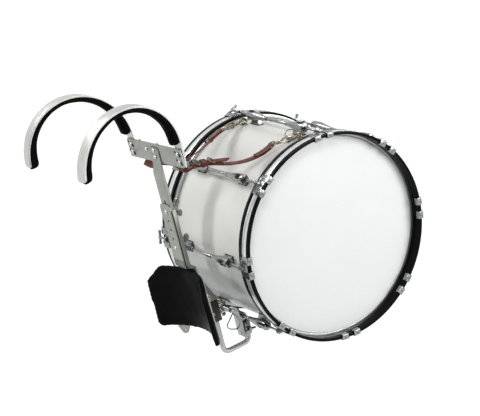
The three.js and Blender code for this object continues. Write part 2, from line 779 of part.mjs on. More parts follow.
// Bracket: a plate with a ring round the tube of one lug, and a sleeve for the end of the lower tube
function makeShellBracket() {
  const front = gripAhead - bracketStand;
  const low = tubeTop - clampLength;
  const half = bracketWidth / 2;
  const body = join(
    block([front, -half, low], [front + bracketSheet, half, gripUp + bracketRise]),
    block([front, -bracketSheet, low], [tubeAhead, bracketSheet, gripUp]),
    bar(gripRadius, -half, half, 'y').translate(gripAhead, 0, gripUp),
    bar(clampRadius, low, tubeTop + bracketSheet, 'z').translate(tubeAhead, 0, 0),
  );
  const screwHole = bar(openTo(screwRadius + runGap), -clampRadius - overrun, 0, 'y')
    .translate(tubeAhead, 0, low + clampLength / 2);
  const lugHole = bar(openTo(lugTubeRadius + runGap), -half - overrun, half + overrun, 'y')
    .translate(gripAhead, 0, gripUp);
  const tubeHole = bar(openTo(tubeRadius + seat), low - overrun, tubeTop + seat, 'z')
    .translate(tubeAhead, 0, 0);
  return cut(body, screwHole, lugHole, tubeHole);
}

function makeClampScrew() {
  const tip = -(tubeRadius + seat);
  const seatFace = -clampRadius - seat;
  const shaft = bar(screwRadius, seatFace - screwLength / 4, tip, 'y');
  const hub = bar(screwHub, seatFace - screwLength / 2, seatFace, 'y');
  const wing = beside(outlineShape([
    [-screwWing, -wingSheet / 2], [screwWing, -wingSheet / 2], [screwWing, wingSheet / 2],
    [-screwWing, wingSheet / 2],
  ]), seatFace - screwLength / 4, screwLength / 2);
  return join(shaft, hub, wing).translate(tubeAhead, 0, tubeTop - clampLength / 2);
}

function addSpine(carrier) {
  addMesh(carrier, 'spine_bar', makeSpineBar(), 'alloy');
  addMesh(carrier, 'lower_bar', makeLowerBar(), 'alloy');
  const belly = new THREE.Group();
  belly.rotation.x = radians(bellyTilt);
  belly.position.z = bellyMiddle;
  carrier.add(belly);
  addMesh(belly, 'belly_plate', makeBellyPlate(), 'alloy').position.z = -bellyMiddle;
  addMesh(belly, 'belly_pad', makeBellyPad(), 'pad').position.z = -bellyMiddle;
  addMesh(carrier, 'lower_tube', makeLowerTube(), 'silver');
  addMesh(carrier, 'shell_bracket', makeShellBracket(), 'chrome');
  addMesh(carrier, 'clamp_screw', makeClampScrew(), 'chrome');
  for (const [name, i] of [['upper', 0], ['lower', holeCount - 1]]) {
    addMesh(carrier, `wing_nut_${name}`, makeWingNut(), 'chrome').position.z = holeTop - i * holePitch;
  }
}

// Sling strap: a run to the front hoop and a run to the rear hoop, joined behind the cross plate
function makeStrap() {
  const [half, thick] = [strapWidth / 2, strapThickness / 2];
  const section = [[-half, -thick], [half, -thick], [half, thick], [-half, thick]];
  const outwardAt = point => new THREE.Vector3(point.x, 0, point.z).normalize();
  const runs = [frontRun, rearRun].map(run => {
    const curve = new THREE.CatmullRomCurve3(run.map(point => new THREE.Vector3(...point)));
    return sweep(curve.getSpacedPoints(strapSteps), outwardAt, section);
  });
  return join(...runs);
}

// Everything in its place, with the carrier's rest at the origin
const restAhead = archCentre;
const restUp = archRise + archRadius - seat - padThickness;
const carrier = new THREE.Group();
carrier.rotation.y = -radians(lean);
carrier.position.set(
  -(restAhead * leanCos - restUp * leanSin), 0, -(restAhead * leanSin + restUp * leanCos));
addYoke(carrier);
addSpine(carrier);
const drum = new THREE.Group();
drum.position.set(carrier.position.x + drumAhead, 0, carrier.position.z - drumBelow);
addDrum(drum);
addMesh(drum, 'sling_strap', makeStrap(), 'leather');
root.add(carrier, drum);

export default root;
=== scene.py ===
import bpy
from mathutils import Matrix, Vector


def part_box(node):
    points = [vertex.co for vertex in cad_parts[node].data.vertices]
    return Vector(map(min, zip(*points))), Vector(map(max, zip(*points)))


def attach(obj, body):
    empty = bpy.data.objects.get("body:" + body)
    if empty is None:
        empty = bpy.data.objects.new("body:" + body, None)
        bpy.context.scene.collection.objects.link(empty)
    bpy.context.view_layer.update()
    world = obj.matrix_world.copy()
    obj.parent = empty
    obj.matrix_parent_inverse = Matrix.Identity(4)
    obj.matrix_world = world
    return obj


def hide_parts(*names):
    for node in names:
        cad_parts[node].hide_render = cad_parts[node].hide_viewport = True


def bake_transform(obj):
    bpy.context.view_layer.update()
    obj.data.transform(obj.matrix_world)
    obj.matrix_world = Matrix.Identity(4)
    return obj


bl_info = {
    "name": "Marching Bass Drum",
    "version": (1, 0, 0),
    "blender": (4, 5, 0),
    "location": "View3D > Sidebar > Marching Drum",
    "description": "Dresses a marching bass drum and its shoulder carrier",
    "category": "Add Mesh",
}

import math

import bmesh
import bpy
from mathutils import Matrix, Vector

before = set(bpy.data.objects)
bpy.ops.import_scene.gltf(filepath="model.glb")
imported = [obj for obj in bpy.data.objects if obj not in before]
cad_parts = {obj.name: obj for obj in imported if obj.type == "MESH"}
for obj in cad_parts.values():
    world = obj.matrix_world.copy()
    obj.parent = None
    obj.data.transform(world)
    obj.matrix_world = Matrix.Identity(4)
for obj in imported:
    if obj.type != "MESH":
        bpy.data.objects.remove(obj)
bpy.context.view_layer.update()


def at(x=0.0, y=0.0, z=0.0):
    return Matrix.Translation((x, y, z))


def turn(degrees, axis):
    return Matrix.Rotation(math.radians(degrees), 4, axis)


# Places that the pieces are drawn in
shell_low, shell_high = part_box("shell")
DRUM_CENTRE = (shell_low + shell_high) / 2
SHELL_RADIUS = (shell_high.z - shell_low.z) / 2
DRUM = Matrix.Translation(DRUM_CENTRE)
CARRIER = Matrix.Translation(DRUM_CENTRE + Vector((-0.409, 0, 0.219))) @ turn(-15.9, "Y")
YOKE = CARRIER @ at(0, 0.003) @ turn(-2.2, "X")
BELLY = CARRIER @ at(z=-0.4) @ turn(-3, "X") @ at(z=0.4)
# A flat shape drawn in X and Y goes over to Y and Z, thick along X, or to X and Z, thick along -Y
ACROSS = Matrix(((0, 0, 1, 0), (1, 0, 0, 0), (0, 1, 0, 0), (0, 0, 0, 1)))
BESIDE = Matrix(((1, 0, 0, 0), (0, 0, -1, 0), (0, 1, 0, 0), (0, 0, 0, 1)))
Y_TO_X = turn(-90, "Z")
Y_TO_Z = turn(90, "X")
FLIP = turn(180, "X")

# Measures that several pieces share, in metres and degrees
LUG_ANGLES = [10 + 45 * i for i in range(8)]
HANDLE_TURNS = [20, 75, -30, 50, 5, -60, 35, 80]
RIM_STEPS = 160             # steps round the shell, the heads and the hoops
AIR = 0.0003                # between pieces that are clamped together
HOOK_LEG = 0.03             # how far a claw reaches along its hoop
SLOT_HEIGHTS = (-0.0085, 0.0125)            # of the cross plate's slots
ARCH_RISE = 0.041           # height at which an arch starts to bend
ARCH_BACK = 0.0096          # face of an arch's leg on the player's side
ARCH_END = 176              # how far an arch bends round the shoulder
CLAMP_BOLTS = {"upper": -0.152, "lower": -0.25}
BELLY_WRAP = 0.245          # radius that the belly plate and pad wrap round
GRIP = Vector((0.1195, 0, -0.4964))         # the lug tube that the bracket hangs from, seen from the carrier
TUBE_TOP = GRIP + Vector((0.0085, 0, -0.0236))
LEATHER = 0.0026            # thickness of one layer of the strap
EYE_ANGLE = -104            # of the strap's eyes round the shell
EYE_SPREAD = 0.13           # from the drum's middle to each eye


def length_setting(name, description, default):
    return bpy.props.FloatProperty(name=name, description=description, default=default, unit="LENGTH")


def colour_setting(name, description, *default):
    return bpy.props.FloatVectorProperty(name=name, description=description, subtype="COLOR", size=3,
                                         default=default)


class DrumSizes(bpy.types.PropertyGroup):
    shell_length: length_setting("Shell Length", "Between the bearing edges", 0.356)
    hoop_radius: length_setting("Hoop Radius", "Outside of the counter hoops", 0.269)
    hoop_wall: length_setting("Hoop Wall", "Thickness of a counter hoop", 0.008)
    hoop_width: length_setting("Hoop Width", "Width of a counter hoop", 0.04)
    face: length_setting("Face", "From the drum's middle to the hoops' outer faces", 0.207)
    rod_circle: length_setting("Rod Circle", "Radius of the ring of tension rods", 0.2755)
    lug_spread: length_setting("Lug Spread", "From the drum's middle to a lug's bullets", 0.088)


class CarrierSizes(bpy.types.PropertyGroup):
    arch_radius: length_setting("Arch Radius", "Inside of the shoulder arches", 0.136)
    arch_spread: length_setting("Arch Spread", "From the spine to the arches' legs", 0.118)
    pad_thickness: length_setting("Pad Thickness", "Thickness of the shoulder pads", 0.02)
    strap_width: length_setting("Strap Width", "Width of the sling strap", 0.02)


class DrumColours(bpy.types.PropertyGroup):
    covering: colour_setting("Covering", "Covering of the shell", 0.735, 0.73, 0.69)
    film: colour_setting("Heads", "Both drum heads", 0.85, 0.845, 0.84)
    lacquer: colour_setting("Hoops", "Lacquer of the hoops", 0.0022, 0.0022, 0.0022)
    inlay: colour_setting("Inlays", "Inlay round the hoops", 0.66, 0.67, 0.66)
    plate: colour_setting("Plating", "Bright plated fittings", 0.27, 0.284, 0.28)
    alloy: colour_setting("Bars", "Cross plate and bars", 0.31, 0.318, 0.285)
    silver: colour_setting("Arches", "Shoulder arches", 0.56, 0.56, 0.53)
    pad: colour_setting("Pads", "Covers of the pads", 0.002, 0.002, 0.002)
    leather: colour_setting("Strap", "Leather of the sling strap", 0.13, 0.031, 0.017)
    thread: colour_setting("Thread", "Stitching of the strap", 0.4, 0.25, 0.16)


def drum_sizes():
    return bpy.context.scene.drum_sizes


def carrier_sizes():
    return bpy.context.scene.carrier_sizes


# Shapes. A shape is a bmesh, and one that a function is given is used up.
def mesh_of(bm, name):
    mesh = bpy.data.meshes.new(name)
    bm.to_mesh(mesh)
    bm.free()
    return mesh


def shape_of(mesh):
    bm = bmesh.new()
    bm.from_mesh(mesh)
    return bm


def linked(name, data):
    """A new object in the scene."""
    made = bpy.data.objects.new(name, data)
    bpy.context.scene.collection.objects.link(made)
    return made


def evaluated(made):
    return made.evaluated_get(bpy.context.evaluated_depsgraph_get())


def merged(*parts):
    """One shape out of several."""
    whole = bmesh.new()
    for part in parts:
        mesh = mesh_of(part, "part")
        whole.from_mesh(mesh)
        bpy.data.meshes.remove(mesh)
    return whole


def copied(bm, *places):
    """A shape at each of several places."""
    parts = [put(bm.copy(), place) for place in places]
    bm.free()
    return merged(*parts)


def put(bm, place):
    bmesh.ops.transform(bm, matrix=place, verts=bm.verts)
    return bm


def closed(bm):
    """Merges doubles and turns the faces outward."""
    bmesh.ops.remove_doubles(bm, verts=bm.verts, dist=1e-6)
    bmesh.ops.recalc_face_normals(bm, faces=bm.faces)
    return bm


def bevelled(bm, edges, width, segments):
    bmesh.ops.bevel(bm, geom=edges, offset=width, offset_type="OFFSET", segments=segments, profile=0.5,
                    affect="EDGES", material=-1, clamp_overlap=True)
    return bm


def soften(bm, width, segments=2, angle=30):
    """Rounds every edge that is sharper than an angle."""
    sharp = [edge for edge in bm.edges if edge.calc_face_angle(0) > math.radians(angle)]
    return bevelled(bm, sharp, width, segments)


def spun(bm, outline, steps):
    """Spins an outline a full turn round Y."""
    bmesh.ops.spin(bm, geom=outline, cent=(0, 0, 0), axis=(0, 1, 0), dvec=(0, 0, 0), angle=math.tau,
                   steps=steps, use_merge=True, use_normal_flip=False, use_duplicate=False)
    return closed(bm)


def turned(outline, steps=32, soft=0.0):
    """A solid of revolution round Y from an outline of (radius, along) points."""
    bm = bmesh.new()
    verts = [bm.verts.new((radius, along, 0)) for radius, along in outline]
    edges = [bm.edges.new(pair) for pair in zip(verts, verts[1:])]
    if outline[0][0] > 0 or outline[-1][0] > 0:
        edges.append(bm.edges.new((verts[-1], verts[0])))
    spun(bm, verts + edges, steps)
    return soften(bm, soft, 2, 25) if soft else bm


def extruded(bm, faces, step, keep=True):
    """Draws faces out along a step, and gives the faces at its far end."""
    made = bmesh.ops.extrude_face_region(bm, geom=faces, use_keep_orig=keep)["geom"]
    bmesh.ops.translate(bm, vec=step, verts=[part for part in made if isinstance(part, bmesh.types.BMVert)])
    if not keep:
        bmesh.ops.delete(bm, geom=[face for face in faces if face.is_valid], context="FACES_ONLY")
    return faces_in(made)


def faces_in(made):
    return [part for part in made if isinstance(part, bmesh.types.BMFace)]


def plate(outline, depth, holes=(), soft=0.0005, segments=2):
    """A flat outline with holes, made as thick as depth along Z."""
    bm = bmesh.new()
    for ring in (outline, *holes):
        verts = [bm.verts.new((x, y, 0)) for x, y in ring]
        for pair in zip(verts, verts[1:] + verts[:1]):
            bm.edges.new(pair)
    bmesh.ops.triangle_fill(bm, use_beauty=True, use_dissolve=False, edges=bm.edges, normal=(0, 0, 1))
    extruded(bm, bm.faces[:], (0, 0, depth))
    bmesh.ops.recalc_face_normals(bm, faces=bm.faces)
    return soften(bm, soft, segments) if soft else bm


def facing(outline, depth, x=0.0, holes=(), soft=0.0005, segments=2):
    """A plate drawn in Y and Z, from a place along X on."""
    return put(plate(outline, depth, holes, soft, segments), at(x) @ ACROSS)


def upright(outline, depth, y=0.0, soft=0.0005, segments=2):
    """A plate drawn in X and Z, its middle at a place along Y."""
    return put(plate(outline, depth, (), soft, segments), at(0, y + depth / 2) @ BESIDE)


def block(low, high, soft=0.0005, segments=2):
    bm = bmesh.new()
    bmesh.ops.create_cube(bm, size=1)
    low, high = Vector(low), Vector(high)
    put(bm, Matrix.Translation((low + high) / 2) @ Matrix.Diagonal((*(high - low), 1)))
    return soften(bm, soft, segments) if soft else bm


def bar(radius, start, end, steps=24, soft=0.0003):
    """A round bar along Y."""
    return turned([(0, start), (radius, start), (radius, end), (0, end)], steps, soft)


def sleeve(inner, outer, start, end, steps, soft):
    """A round bar along Y with a bore."""
    return turned([(inner, start), (outer, start), (outer, end), (inner, end)], steps, soft)


def ring_of(radius, thick, steps):
    """A closed wire ring round Y."""
    bm = bmesh.new()
    made = bmesh.ops.create_circle(bm, segments=10, radius=thick, cap_ends=False)["verts"]
    bmesh.ops.translate(bm, vec=(radius, 0, 0), verts=made)
    return spun(bm, bm.verts[:] + bm.edges[:], steps)


def wire(points, radius, closes=False):
    """A round wire through points."""
    curve = bpy.data.curves.new("wire", "CURVE")
    curve.dimensions = "3D"
    curve.bevel_depth = radius
    curve.bevel_resolution = 3
    curve.resolution_u = 8
    curve.use_fill_caps = True
    spline = curve.splines.new("BEZIER")
    spline.bezier_points.add(len(points) - 1)
    spline.use_cyclic_u = closes
    for knot, point in zip(spline.bezier_points, points):
        knot.co = point
        knot.handle_left_type = knot.handle_right_type = "AUTO"
    holder = bpy.data.objects.new("wire", curve)
    mesh = bpy.data.meshes.new_from_object(holder)
    bm = shape_of(mesh)
    bpy.data.objects.remove(holder)
    bpy.data.curves.remove(curve)
    bpy.data.meshes.remove(mesh)
    return closed(bm)


def without(bm, tool):
    """A shape with another cut out of it."""
    target, cutter = linked("target", mesh_of(bm, "target")), linked("cutter", mesh_of(tool, "cutter"))
    cut = target.modifiers.new("cut", "BOOLEAN")
    cut.operation = "DIFFERENCE"
    cut.solver = "EXACT"
    cut.object = cutter
    left = shape_of(bpy.data.meshes.new_from_object(evaluated(target)))
    bpy.data.objects.remove(cutter)
    bpy.data.objects.remove(target)
    return left


def piece(name, bm, place, finishes, body, stands_for=(), crease=32):
    """Puts a finished shape in the scene on the body that carries it."""
    put(bm, place)
    for face in bm.faces:
        face.smooth = True
    for edge in bm.edges:
        edge.smooth = edge.calc_face_angle(0) < math.radians(crease)
    made = linked(name, mesh_of(bm, name))
    for finish in [finishes] if isinstance(finishes, str) else finishes:
        made.data.materials.append(FINISHES[finish])
    if body:
        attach(made, body)
    if stands_for:
        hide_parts(*stands_for)
    return made


def painted(index, *parts):
    """One shape out of several, all in one of a piece's finishes."""
    whole = merged(*parts)
    for face in whole.faces:
        face.material_index = index
    return whole


def arc(x, y, radius, start, end, steps):
    """Points on an arc round (x, y), between two angles in degrees."""
    angles = [math.radians(start + (end - start) * i / steps) for i in range(steps + 1)]
    return [(x + radius * math.cos(a), y + radius * math.sin(a)) for a in angles]


def rounded_box(width, height, radius, centre=(0, 0), steps=6):
    """Outline of a rectangle with round corners."""
    x, y = width / 2 - radius, height / 2 - radius
    points = []
    for k, (sx, sy) in enumerate(((1, 1), (-1, 1), (-1, -1), (1, -1))):
        points += arc(centre[0] + sx * x, centre[1] + sy * y, radius, 90 * k, 90 * k + 90, steps)
    return points


def round_hole(x, y, radius, steps=20):
    return arc(x, y, radius, 0, 360, steps)[:-1]


def slot_hole(x, y, length, width, degrees):
    reach, lean = (length - width) / 2, math.radians(degrees)
    points = []
    for side in (1, -1):
        first = degrees - 90 * side
        points += arc(x + side * reach * math.cos(lean), y + side * reach * math.sin(lean), width / 2,
                      first, first + 180, 8)
    return points


# Fastenings, drawn along Y with the seat at 0 and the head toward +Y
def button_bolt(radius, height):
    outline = [(0, 0.45), (0.34, 0.45), (0.38, 1), (0.62, 0.97), (0.9, 0.6), (1, 0.25), (1, 0), (0, 0)]
    return turned([(radius * across, height * along) for across, along in outline], 28, 0.00015)


def hex_nut(radius, height, shank):
    nut = bmesh.new()
    bmesh.ops.create_cone(nut, segments=6, radius1=radius, radius2=radius, depth=height, cap_ends=True)
    put(nut, at(0, height / 2) @ turn(-90, "X"))
    washer = bar(radius * 1.15, -0.0002, 0.0009, 28)
    return merged(soften(nut, 0.0006), bar(shank, 0, height * 1.45, 20, 0.0004), washer)


# Shader nodes
def connect(tree, source, socket):
    """Links a socket, or sets it where the source is a plain number or colour."""
    if isinstance(source, bpy.types.NodeSocket):
        tree.links.new(source, socket)
    else:
        socket.default_value = source


def add_node(tree, kind, sources, **settings):
    made = tree.nodes.new(kind)
    for key, value in settings.items():
        setattr(made, key, value)
    for socket, source in sources.items():
        connect(tree, source, made.inputs[socket])
    return made


def noise_node(tree, place, scale, detail, roughness=0.55):
    sources = {"Vector": place, "Scale": scale, "Detail": detail, "Roughness": roughness}
    return add_node(tree, "ShaderNodeTexNoise", sources).outputs["Fac"]


def math_node(tree, operation, *values):
    return add_node(tree, "ShaderNodeMath", dict(enumerate(values)), operation=operation).outputs["Value"]


def range_node(tree, value, low, high, to_low, to_high):
    sources = {"Value": value, "From Min": low, "From Max": high, "To Min": to_low, "To Max": to_high}
    return add_node(tree, "ShaderNodeMapRange", sources).outputs["Result"]


def blend_node(tree, factor, first, second):
    # Sockets 0, 6 and 7 are the factor and the two colours, and output 2 is the mixed colour
    return add_node(tree, "ShaderNodeMix", {0: factor, 6: first, 7: second}, data_type="RGBA").outputs[2]


EFFECTS = {}
FINISHES = {}


def effect(name, outputs, **inputs):
    """A new shader node group with named sockets, and these sockets as seen from inside."""
    tree = bpy.data.node_groups.new(name, "ShaderNodeTree")
    for socket, default in inputs.items():
        kind = "Float" if isinstance(default, float) else {3: "Vector", 4: "Color"}[len(default)]
        made = tree.interface.new_socket(socket, in_out="INPUT", socket_type="NodeSocket" + kind)
        made.default_value = default
    for socket, kind in outputs.items():
        tree.interface.new_socket(socket, in_out="OUTPUT", socket_type="NodeSocket" + kind)
    EFFECTS[name] = tree
    return tree, tree.nodes.new("NodeGroupInput").outputs, tree.nodes.new("NodeGroupOutput").inputs


def make_effects():
    """Node groups that several finishes share."""
    tree, given, out = effect("Handling Marks", {"Roughness": "Float", "Height": "Float"},
                              Vector=(0, 0, 0), Scale=30.0, Low=0.1, High=0.25)
    smears = noise_node(tree, given["Vector"], given["Scale"], 5.0, 0.62)
    fine = noise_node(tree, given["Vector"], math_node(tree, "MULTIPLY", given["Scale"], 14.0), 2.0)
    level = range_node(tree, smears, 0.38, 0.68, given["Low"], given["High"])
    speckle = range_node(tree, fine, 0.3, 0.7, -0.015, 0.015)
    connect(tree, math_node(tree, "ADD", level, speckle), out["Roughness"])
    connect(tree, fine, out["Height"])

    tree, given, out = effect("Tone Drift", {"Color": "Color"}, Vector=(0, 0, 0), Scale=8.0,
                              Light=(1, 1, 1, 1), Dark=(0.5, 0.5, 0.5, 1))
    clouds = noise_node(tree, given["Vector"], given["Scale"], 4.0, 0.6)
    drift = range_node(tree, clouds, 0.35, 0.7, 0.0, 1.0)
    connect(tree, blend_node(tree, drift, given["Light"], given["Dark"]), out["Color"])

    tree, given, out = effect("Brushed Lines", {"Height": "Float"}, Vector=(0, 0, 0),
                              Across=(400.0, 8.0, 8.0))
    stretch = add_node(tree, "ShaderNodeVectorMath", {0: given["Vector"], 1: given["Across"]},
                       operation="MULTIPLY")
    connect(tree, noise_node(tree, stretch.outputs[0], 1.0, 5.0, 0.7), out["Height"])

    tree, given, out = effect("Pebbled Cover", {"Height": "Float"}, Vector=(0, 0, 0), Scale=700.0)
    sources = {"Vector": given["Vector"], "Scale": given["Scale"]}
    cells = add_node(tree, "ShaderNodeTexVoronoi", sources, feature="F1")
    folds = noise_node(tree, given["Vector"], math_node(tree, "MULTIPLY", given["Scale"], 0.12), 3.0)
    connect(tree, math_node(tree, "ADD", cells.outputs["Distance"], folds), out["Height"])


def shade(colour, share=1.0):
    """A colour for a socket, as it is or darker by a share."""
    return (*[c * share for c in colour], 1)


class Surface:
    """A material under construction, with short calls for what the finishes have in common."""

    def __init__(self, name, colour, roughness, metallic=0.0, **sockets):
        material = bpy.data.materials.new(name)
        material.use_nodes = True
        self.tree = material.node_tree
        self.inputs = self.tree.nodes["Principled BSDF"].inputs
        values = {"Base Color": shade(colour), "Roughness": roughness, "Metallic": metallic, **sockets}
        for socket, value in values.items():
            self.inputs[socket.replace("_", " ")].default_value = value
        self.colour = colour
        self.place = self.tree.nodes.new("ShaderNodeTexCoord").outputs["Object"]
        FINISHES[name] = material

    def group(self, name, output, **sources):
        """What a shared effect puts out, at this material's own coordinates."""
        sources["Vector"] = self.place
        return add_node(self.tree, "ShaderNodeGroup", sources, node_tree=EFFECTS[name]).outputs[output]

    def feed(self, socket, source):
        connect(self.tree, source, self.inputs[socket])

    def tones(self, scale, share=None, light=None, dark=None):
        """Lets the colour drift to a darker share of itself, or between two tones."""
        light, dark = light or shade(self.colour), dark or shade(self.colour, share)
        self.feed("Base Color", self.group("Tone Drift", "Color", Scale=scale, Light=light, Dark=dark))

    def marks(self, scale, low, high):
        """Lets the gloss vary as handling leaves it, and gives the height of the fine marks."""
        roughness = self.group("Handling Marks", "Roughness", Scale=scale, Low=low, High=high)
        self.feed("Roughness", roughness)
        return roughness.node.outputs["Height"]

    def bump(self, height, strength, distance):
        sources = {"Height": height, "Strength": strength, "Distance": distance}
        made = add_node(self.tree, "ShaderNodeBump", sources)
        self.feed("Normal", made.outputs["Normal"])

    def grain(self, scale, strength, distance, detail=2.0):
        self.bump(noise_node(self.tree, self.place, scale, detail), strength, distance)

    def pebbles(self, scale, strength):
        self.bump(self.group("Pebbled Cover", "Height", Scale=scale), strength, 0.0004)

    def lines(self, across, strength, distance):
        self.bump(self.group("Brushed Lines", "Height", Across=across), strength, distance)


def make_finishes():
    """Materials, one for each finish on the drum and its carrier."""
    make_effects()
    colours = bpy.context.scene.drum_colours

    covering = Surface("Drum Covering", colours.covering, 0.35, Coat_Weight=0.15, Coat_Roughness=0.12)
    covering.tones(5.0, 0.93)
    covering.marks(16.0, 0.3, 0.42)
    covering.grain(90.0, 0.05, 0.0006)

    film = Surface("Head Film", colours.film, 0.42)
    film.tones(7.0, 0.965)
    film.marks(22.0, 0.36, 0.5)
    film.grain(900.0, 0.06, 0.0003)

    lacquer = Surface("Hoop Lacquer", colours.lacquer, 0.18, Specular_IOR_Level=0.06)
    lacquer.marks(35.0, 0.12, 0.3)
    lacquer.lines((30.0, 260.0, 30.0), 0.02, 0.0003)

    inlay = Surface("Hoop Inlay", colours.inlay, 0.25, 0.55, Coat_Weight=0.4, Coat_Roughness=0.08)
    inlay.feed("Base Color", pin_line(inlay, 0.190))
    inlay.marks(30.0, 0.2, 0.36)

    plated(colours)
    metals(colours)
    soft_goods(colours)
    plastics()


def pin_line(surface, seat):
    """Colour with a thin darker line round both hoops, at a distance from the drum's middle."""
    tree = surface.tree
    axis = add_node(tree, "ShaderNodeSeparateXYZ", {"Vector": surface.place}).outputs["Y"]
    past = math_node(tree, "SUBTRACT", math_node(tree, "ABSOLUTE", axis), seat)
    line = range_node(tree, math_node(tree, "ABSOLUTE", past), 0.0005, 0.0011, 1.0, 0.0)
    return blend_node(tree, line, shade(surface.colour), shade(surface.colour, 0.45))


def plated(colours):
    for name, colour, low, high in (
            ("Bright Plate", colours.plate, 0.14, 0.28),
            ("Brass Tinted Plate", (0.3, 0.265, 0.195), 0.18, 0.34),
            ("Bolt Steel", (0.5, 0.48, 0.43), 0.18, 0.32),
            # The last finish also paints the dark dot on each claw tab, which is painted shade for the tab's
            # hole.
            ("Dark Steel", (0.13, 0.135, 0.125), 0.24, 0.4)):
        surface = Surface(name, colour, 0.14, 1.0)
        surface.tones(60.0, 0.82)
        surface.bump(surface.marks(70.0, low, high), 0.015, 0.0002)


def metals(colours):
    for name, colour, low, high, across in (
            ("Bar Alloy", colours.alloy, 0.34, 0.5, (40.0, 500.0, 40.0)),
            ("Arch Alloy", colours.silver, 0.3, 0.46, (25.0, 600.0, 25.0)),
            ("Tube Steel", (0.46, 0.47, 0.46), 0.3, 0.42, (60.0, 60.0, 60.0))):
        surface = Surface(name, colour, 0.4, 0.75)
        surface.tones(22.0, 0.86)
        surface.marks(40.0, low, high)
        surface.lines(across, 0.05, 0.0002)


def soft_goods(colours):
    pad = Surface("Pad Cover", colours.pad, 0.6, Specular_IOR_Level=0.02)
    pad.tones(9.0, dark=(0.0042, 0.0042, 0.004, 1))
    pad.marks(14.0, 0.5, 0.7)
    pad.pebbles(900.0, 0.35)

    vinyl = Surface("Belly Pad Cover", (0.0012, 0.0012, 0.0012), 0.45, Specular_IOR_Level=0.02)
    vinyl.tones(10.0, light=(0.002, 0.002, 0.002, 1), dark=(0.005, 0.005, 0.0047, 1))
    vinyl.marks(12.0, 0.34, 0.56)
    vinyl.pebbles(620.0, 0.3)

    leather = Surface("Strap Leather", colours.leather, 0.5, Specular_IOR_Level=0.22)
    leather.tones(55.0, 0.5)
    leather.marks(60.0, 0.36, 0.6)
    leather.pebbles(1100.0, 0.4)

    thread = Surface("Strap Thread", colours.thread, 0.8)
    thread.grain(2500.0, 0.3, 0.0002, 1.0)


def plastics():
    clamp = Surface("Clamp Plastic", (0.012, 0.012, 0.012), 0.45)
    clamp.marks(60.0, 0.38, 0.55)
    clamp.grain(800.0, 0.1, 0.0003)
    # This finish also paints the dark discs on the strap, which are painted shade for its punched holes.
    rubber_and_hole_shade = Surface("Gasket Rubber And Hole Shade", (0.015, 0.015, 0.015), 0.8)
    rubber_and_hole_shade.grain(1200.0, 0.15, 0.0003)


# Drum
def add_shell():
    end, radius, wall = drum_sizes().shell_length / 2, SHELL_RADIUS, 0.007
    half = [(radius - wall, end - 0.004), (radius - 0.0025, end), (radius - 0.0012, end),
            (radius, end - 0.0012)]
    outline = half + [(r, -y) for r, y in reversed(half)]
    piece("drum_shell", turned(outline, RIM_STEPS), DRUM, "Drum Covering", "drum", ["shell"])


def add_heads():
    edge, tuck = drum_sizes().shell_length / 2 + AIR, SHELL_RADIUS + AIR
    film, fold, skirt = 0.0008, 0.0025, edge - 0.0122
    outline = [(0, edge + film), *arc(tuck - fold, edge - fold, fold + film, 90, 0, 6), (tuck + film, skirt),
               (tuck, skirt), *arc(tuck - fold, edge - fold, fold, 0, 90, 6), (0, edge)]
    for end, side in (("rear", Matrix()), ("front", FLIP)):
        head = turned(outline, RIM_STEPS)
        piece(f"drum_head_{end}", head, DRUM @ side, "Head Film", "drum", [f"head_{end}"])
        flesh = sleeve(tuck + 0.0009, tuck + 0.009, edge - 0.0212, edge - 0.0015, 128, 0.0008)
        piece(f"flesh_hoop_{end}", flesh, DRUM @ side, "Tube Steel", "drum")


def add_hoops():
    """Counter hoops, stepped inside for the flesh hoop and grooved outside for the inlay."""
    sizes = drum_sizes()
    face, outer = sizes.face, sizes.hoop_radius
    inside, low = outer - sizes.hoop_wall, face - sizes.hoop_width
    step, wide, seat, groove = 0.1771, 0.0175, inside + 0.0026, outer - 0.0006
    for end, side, start in (("rear", Matrix(), 0.0115), ("front", FLIP, 0.008)):
        top, bottom = face - start, face - start - wide
        outline = [(inside, face), (outer, face), (outer, top), (groove, top), (groove, bottom),
                   (outer, bottom), (outer, low), (seat, low), (seat, step), (inside, step)]
        piece(f"counter_hoop_{end}", turned(outline, RIM_STEPS, 0.0009), DRUM @ side, "Hoop Lacquer", "drum",
              [f"hoop_{end}"], 40)
        band = sleeve(outer - 0.0007, outer + 0.0001, top - 0.0001, bottom + 0.0001, RIM_STEPS, 0.0002)
        piece(f"hoop_inlay_{end}", band, DRUM @ side, "Hoop Inlay", "drum")


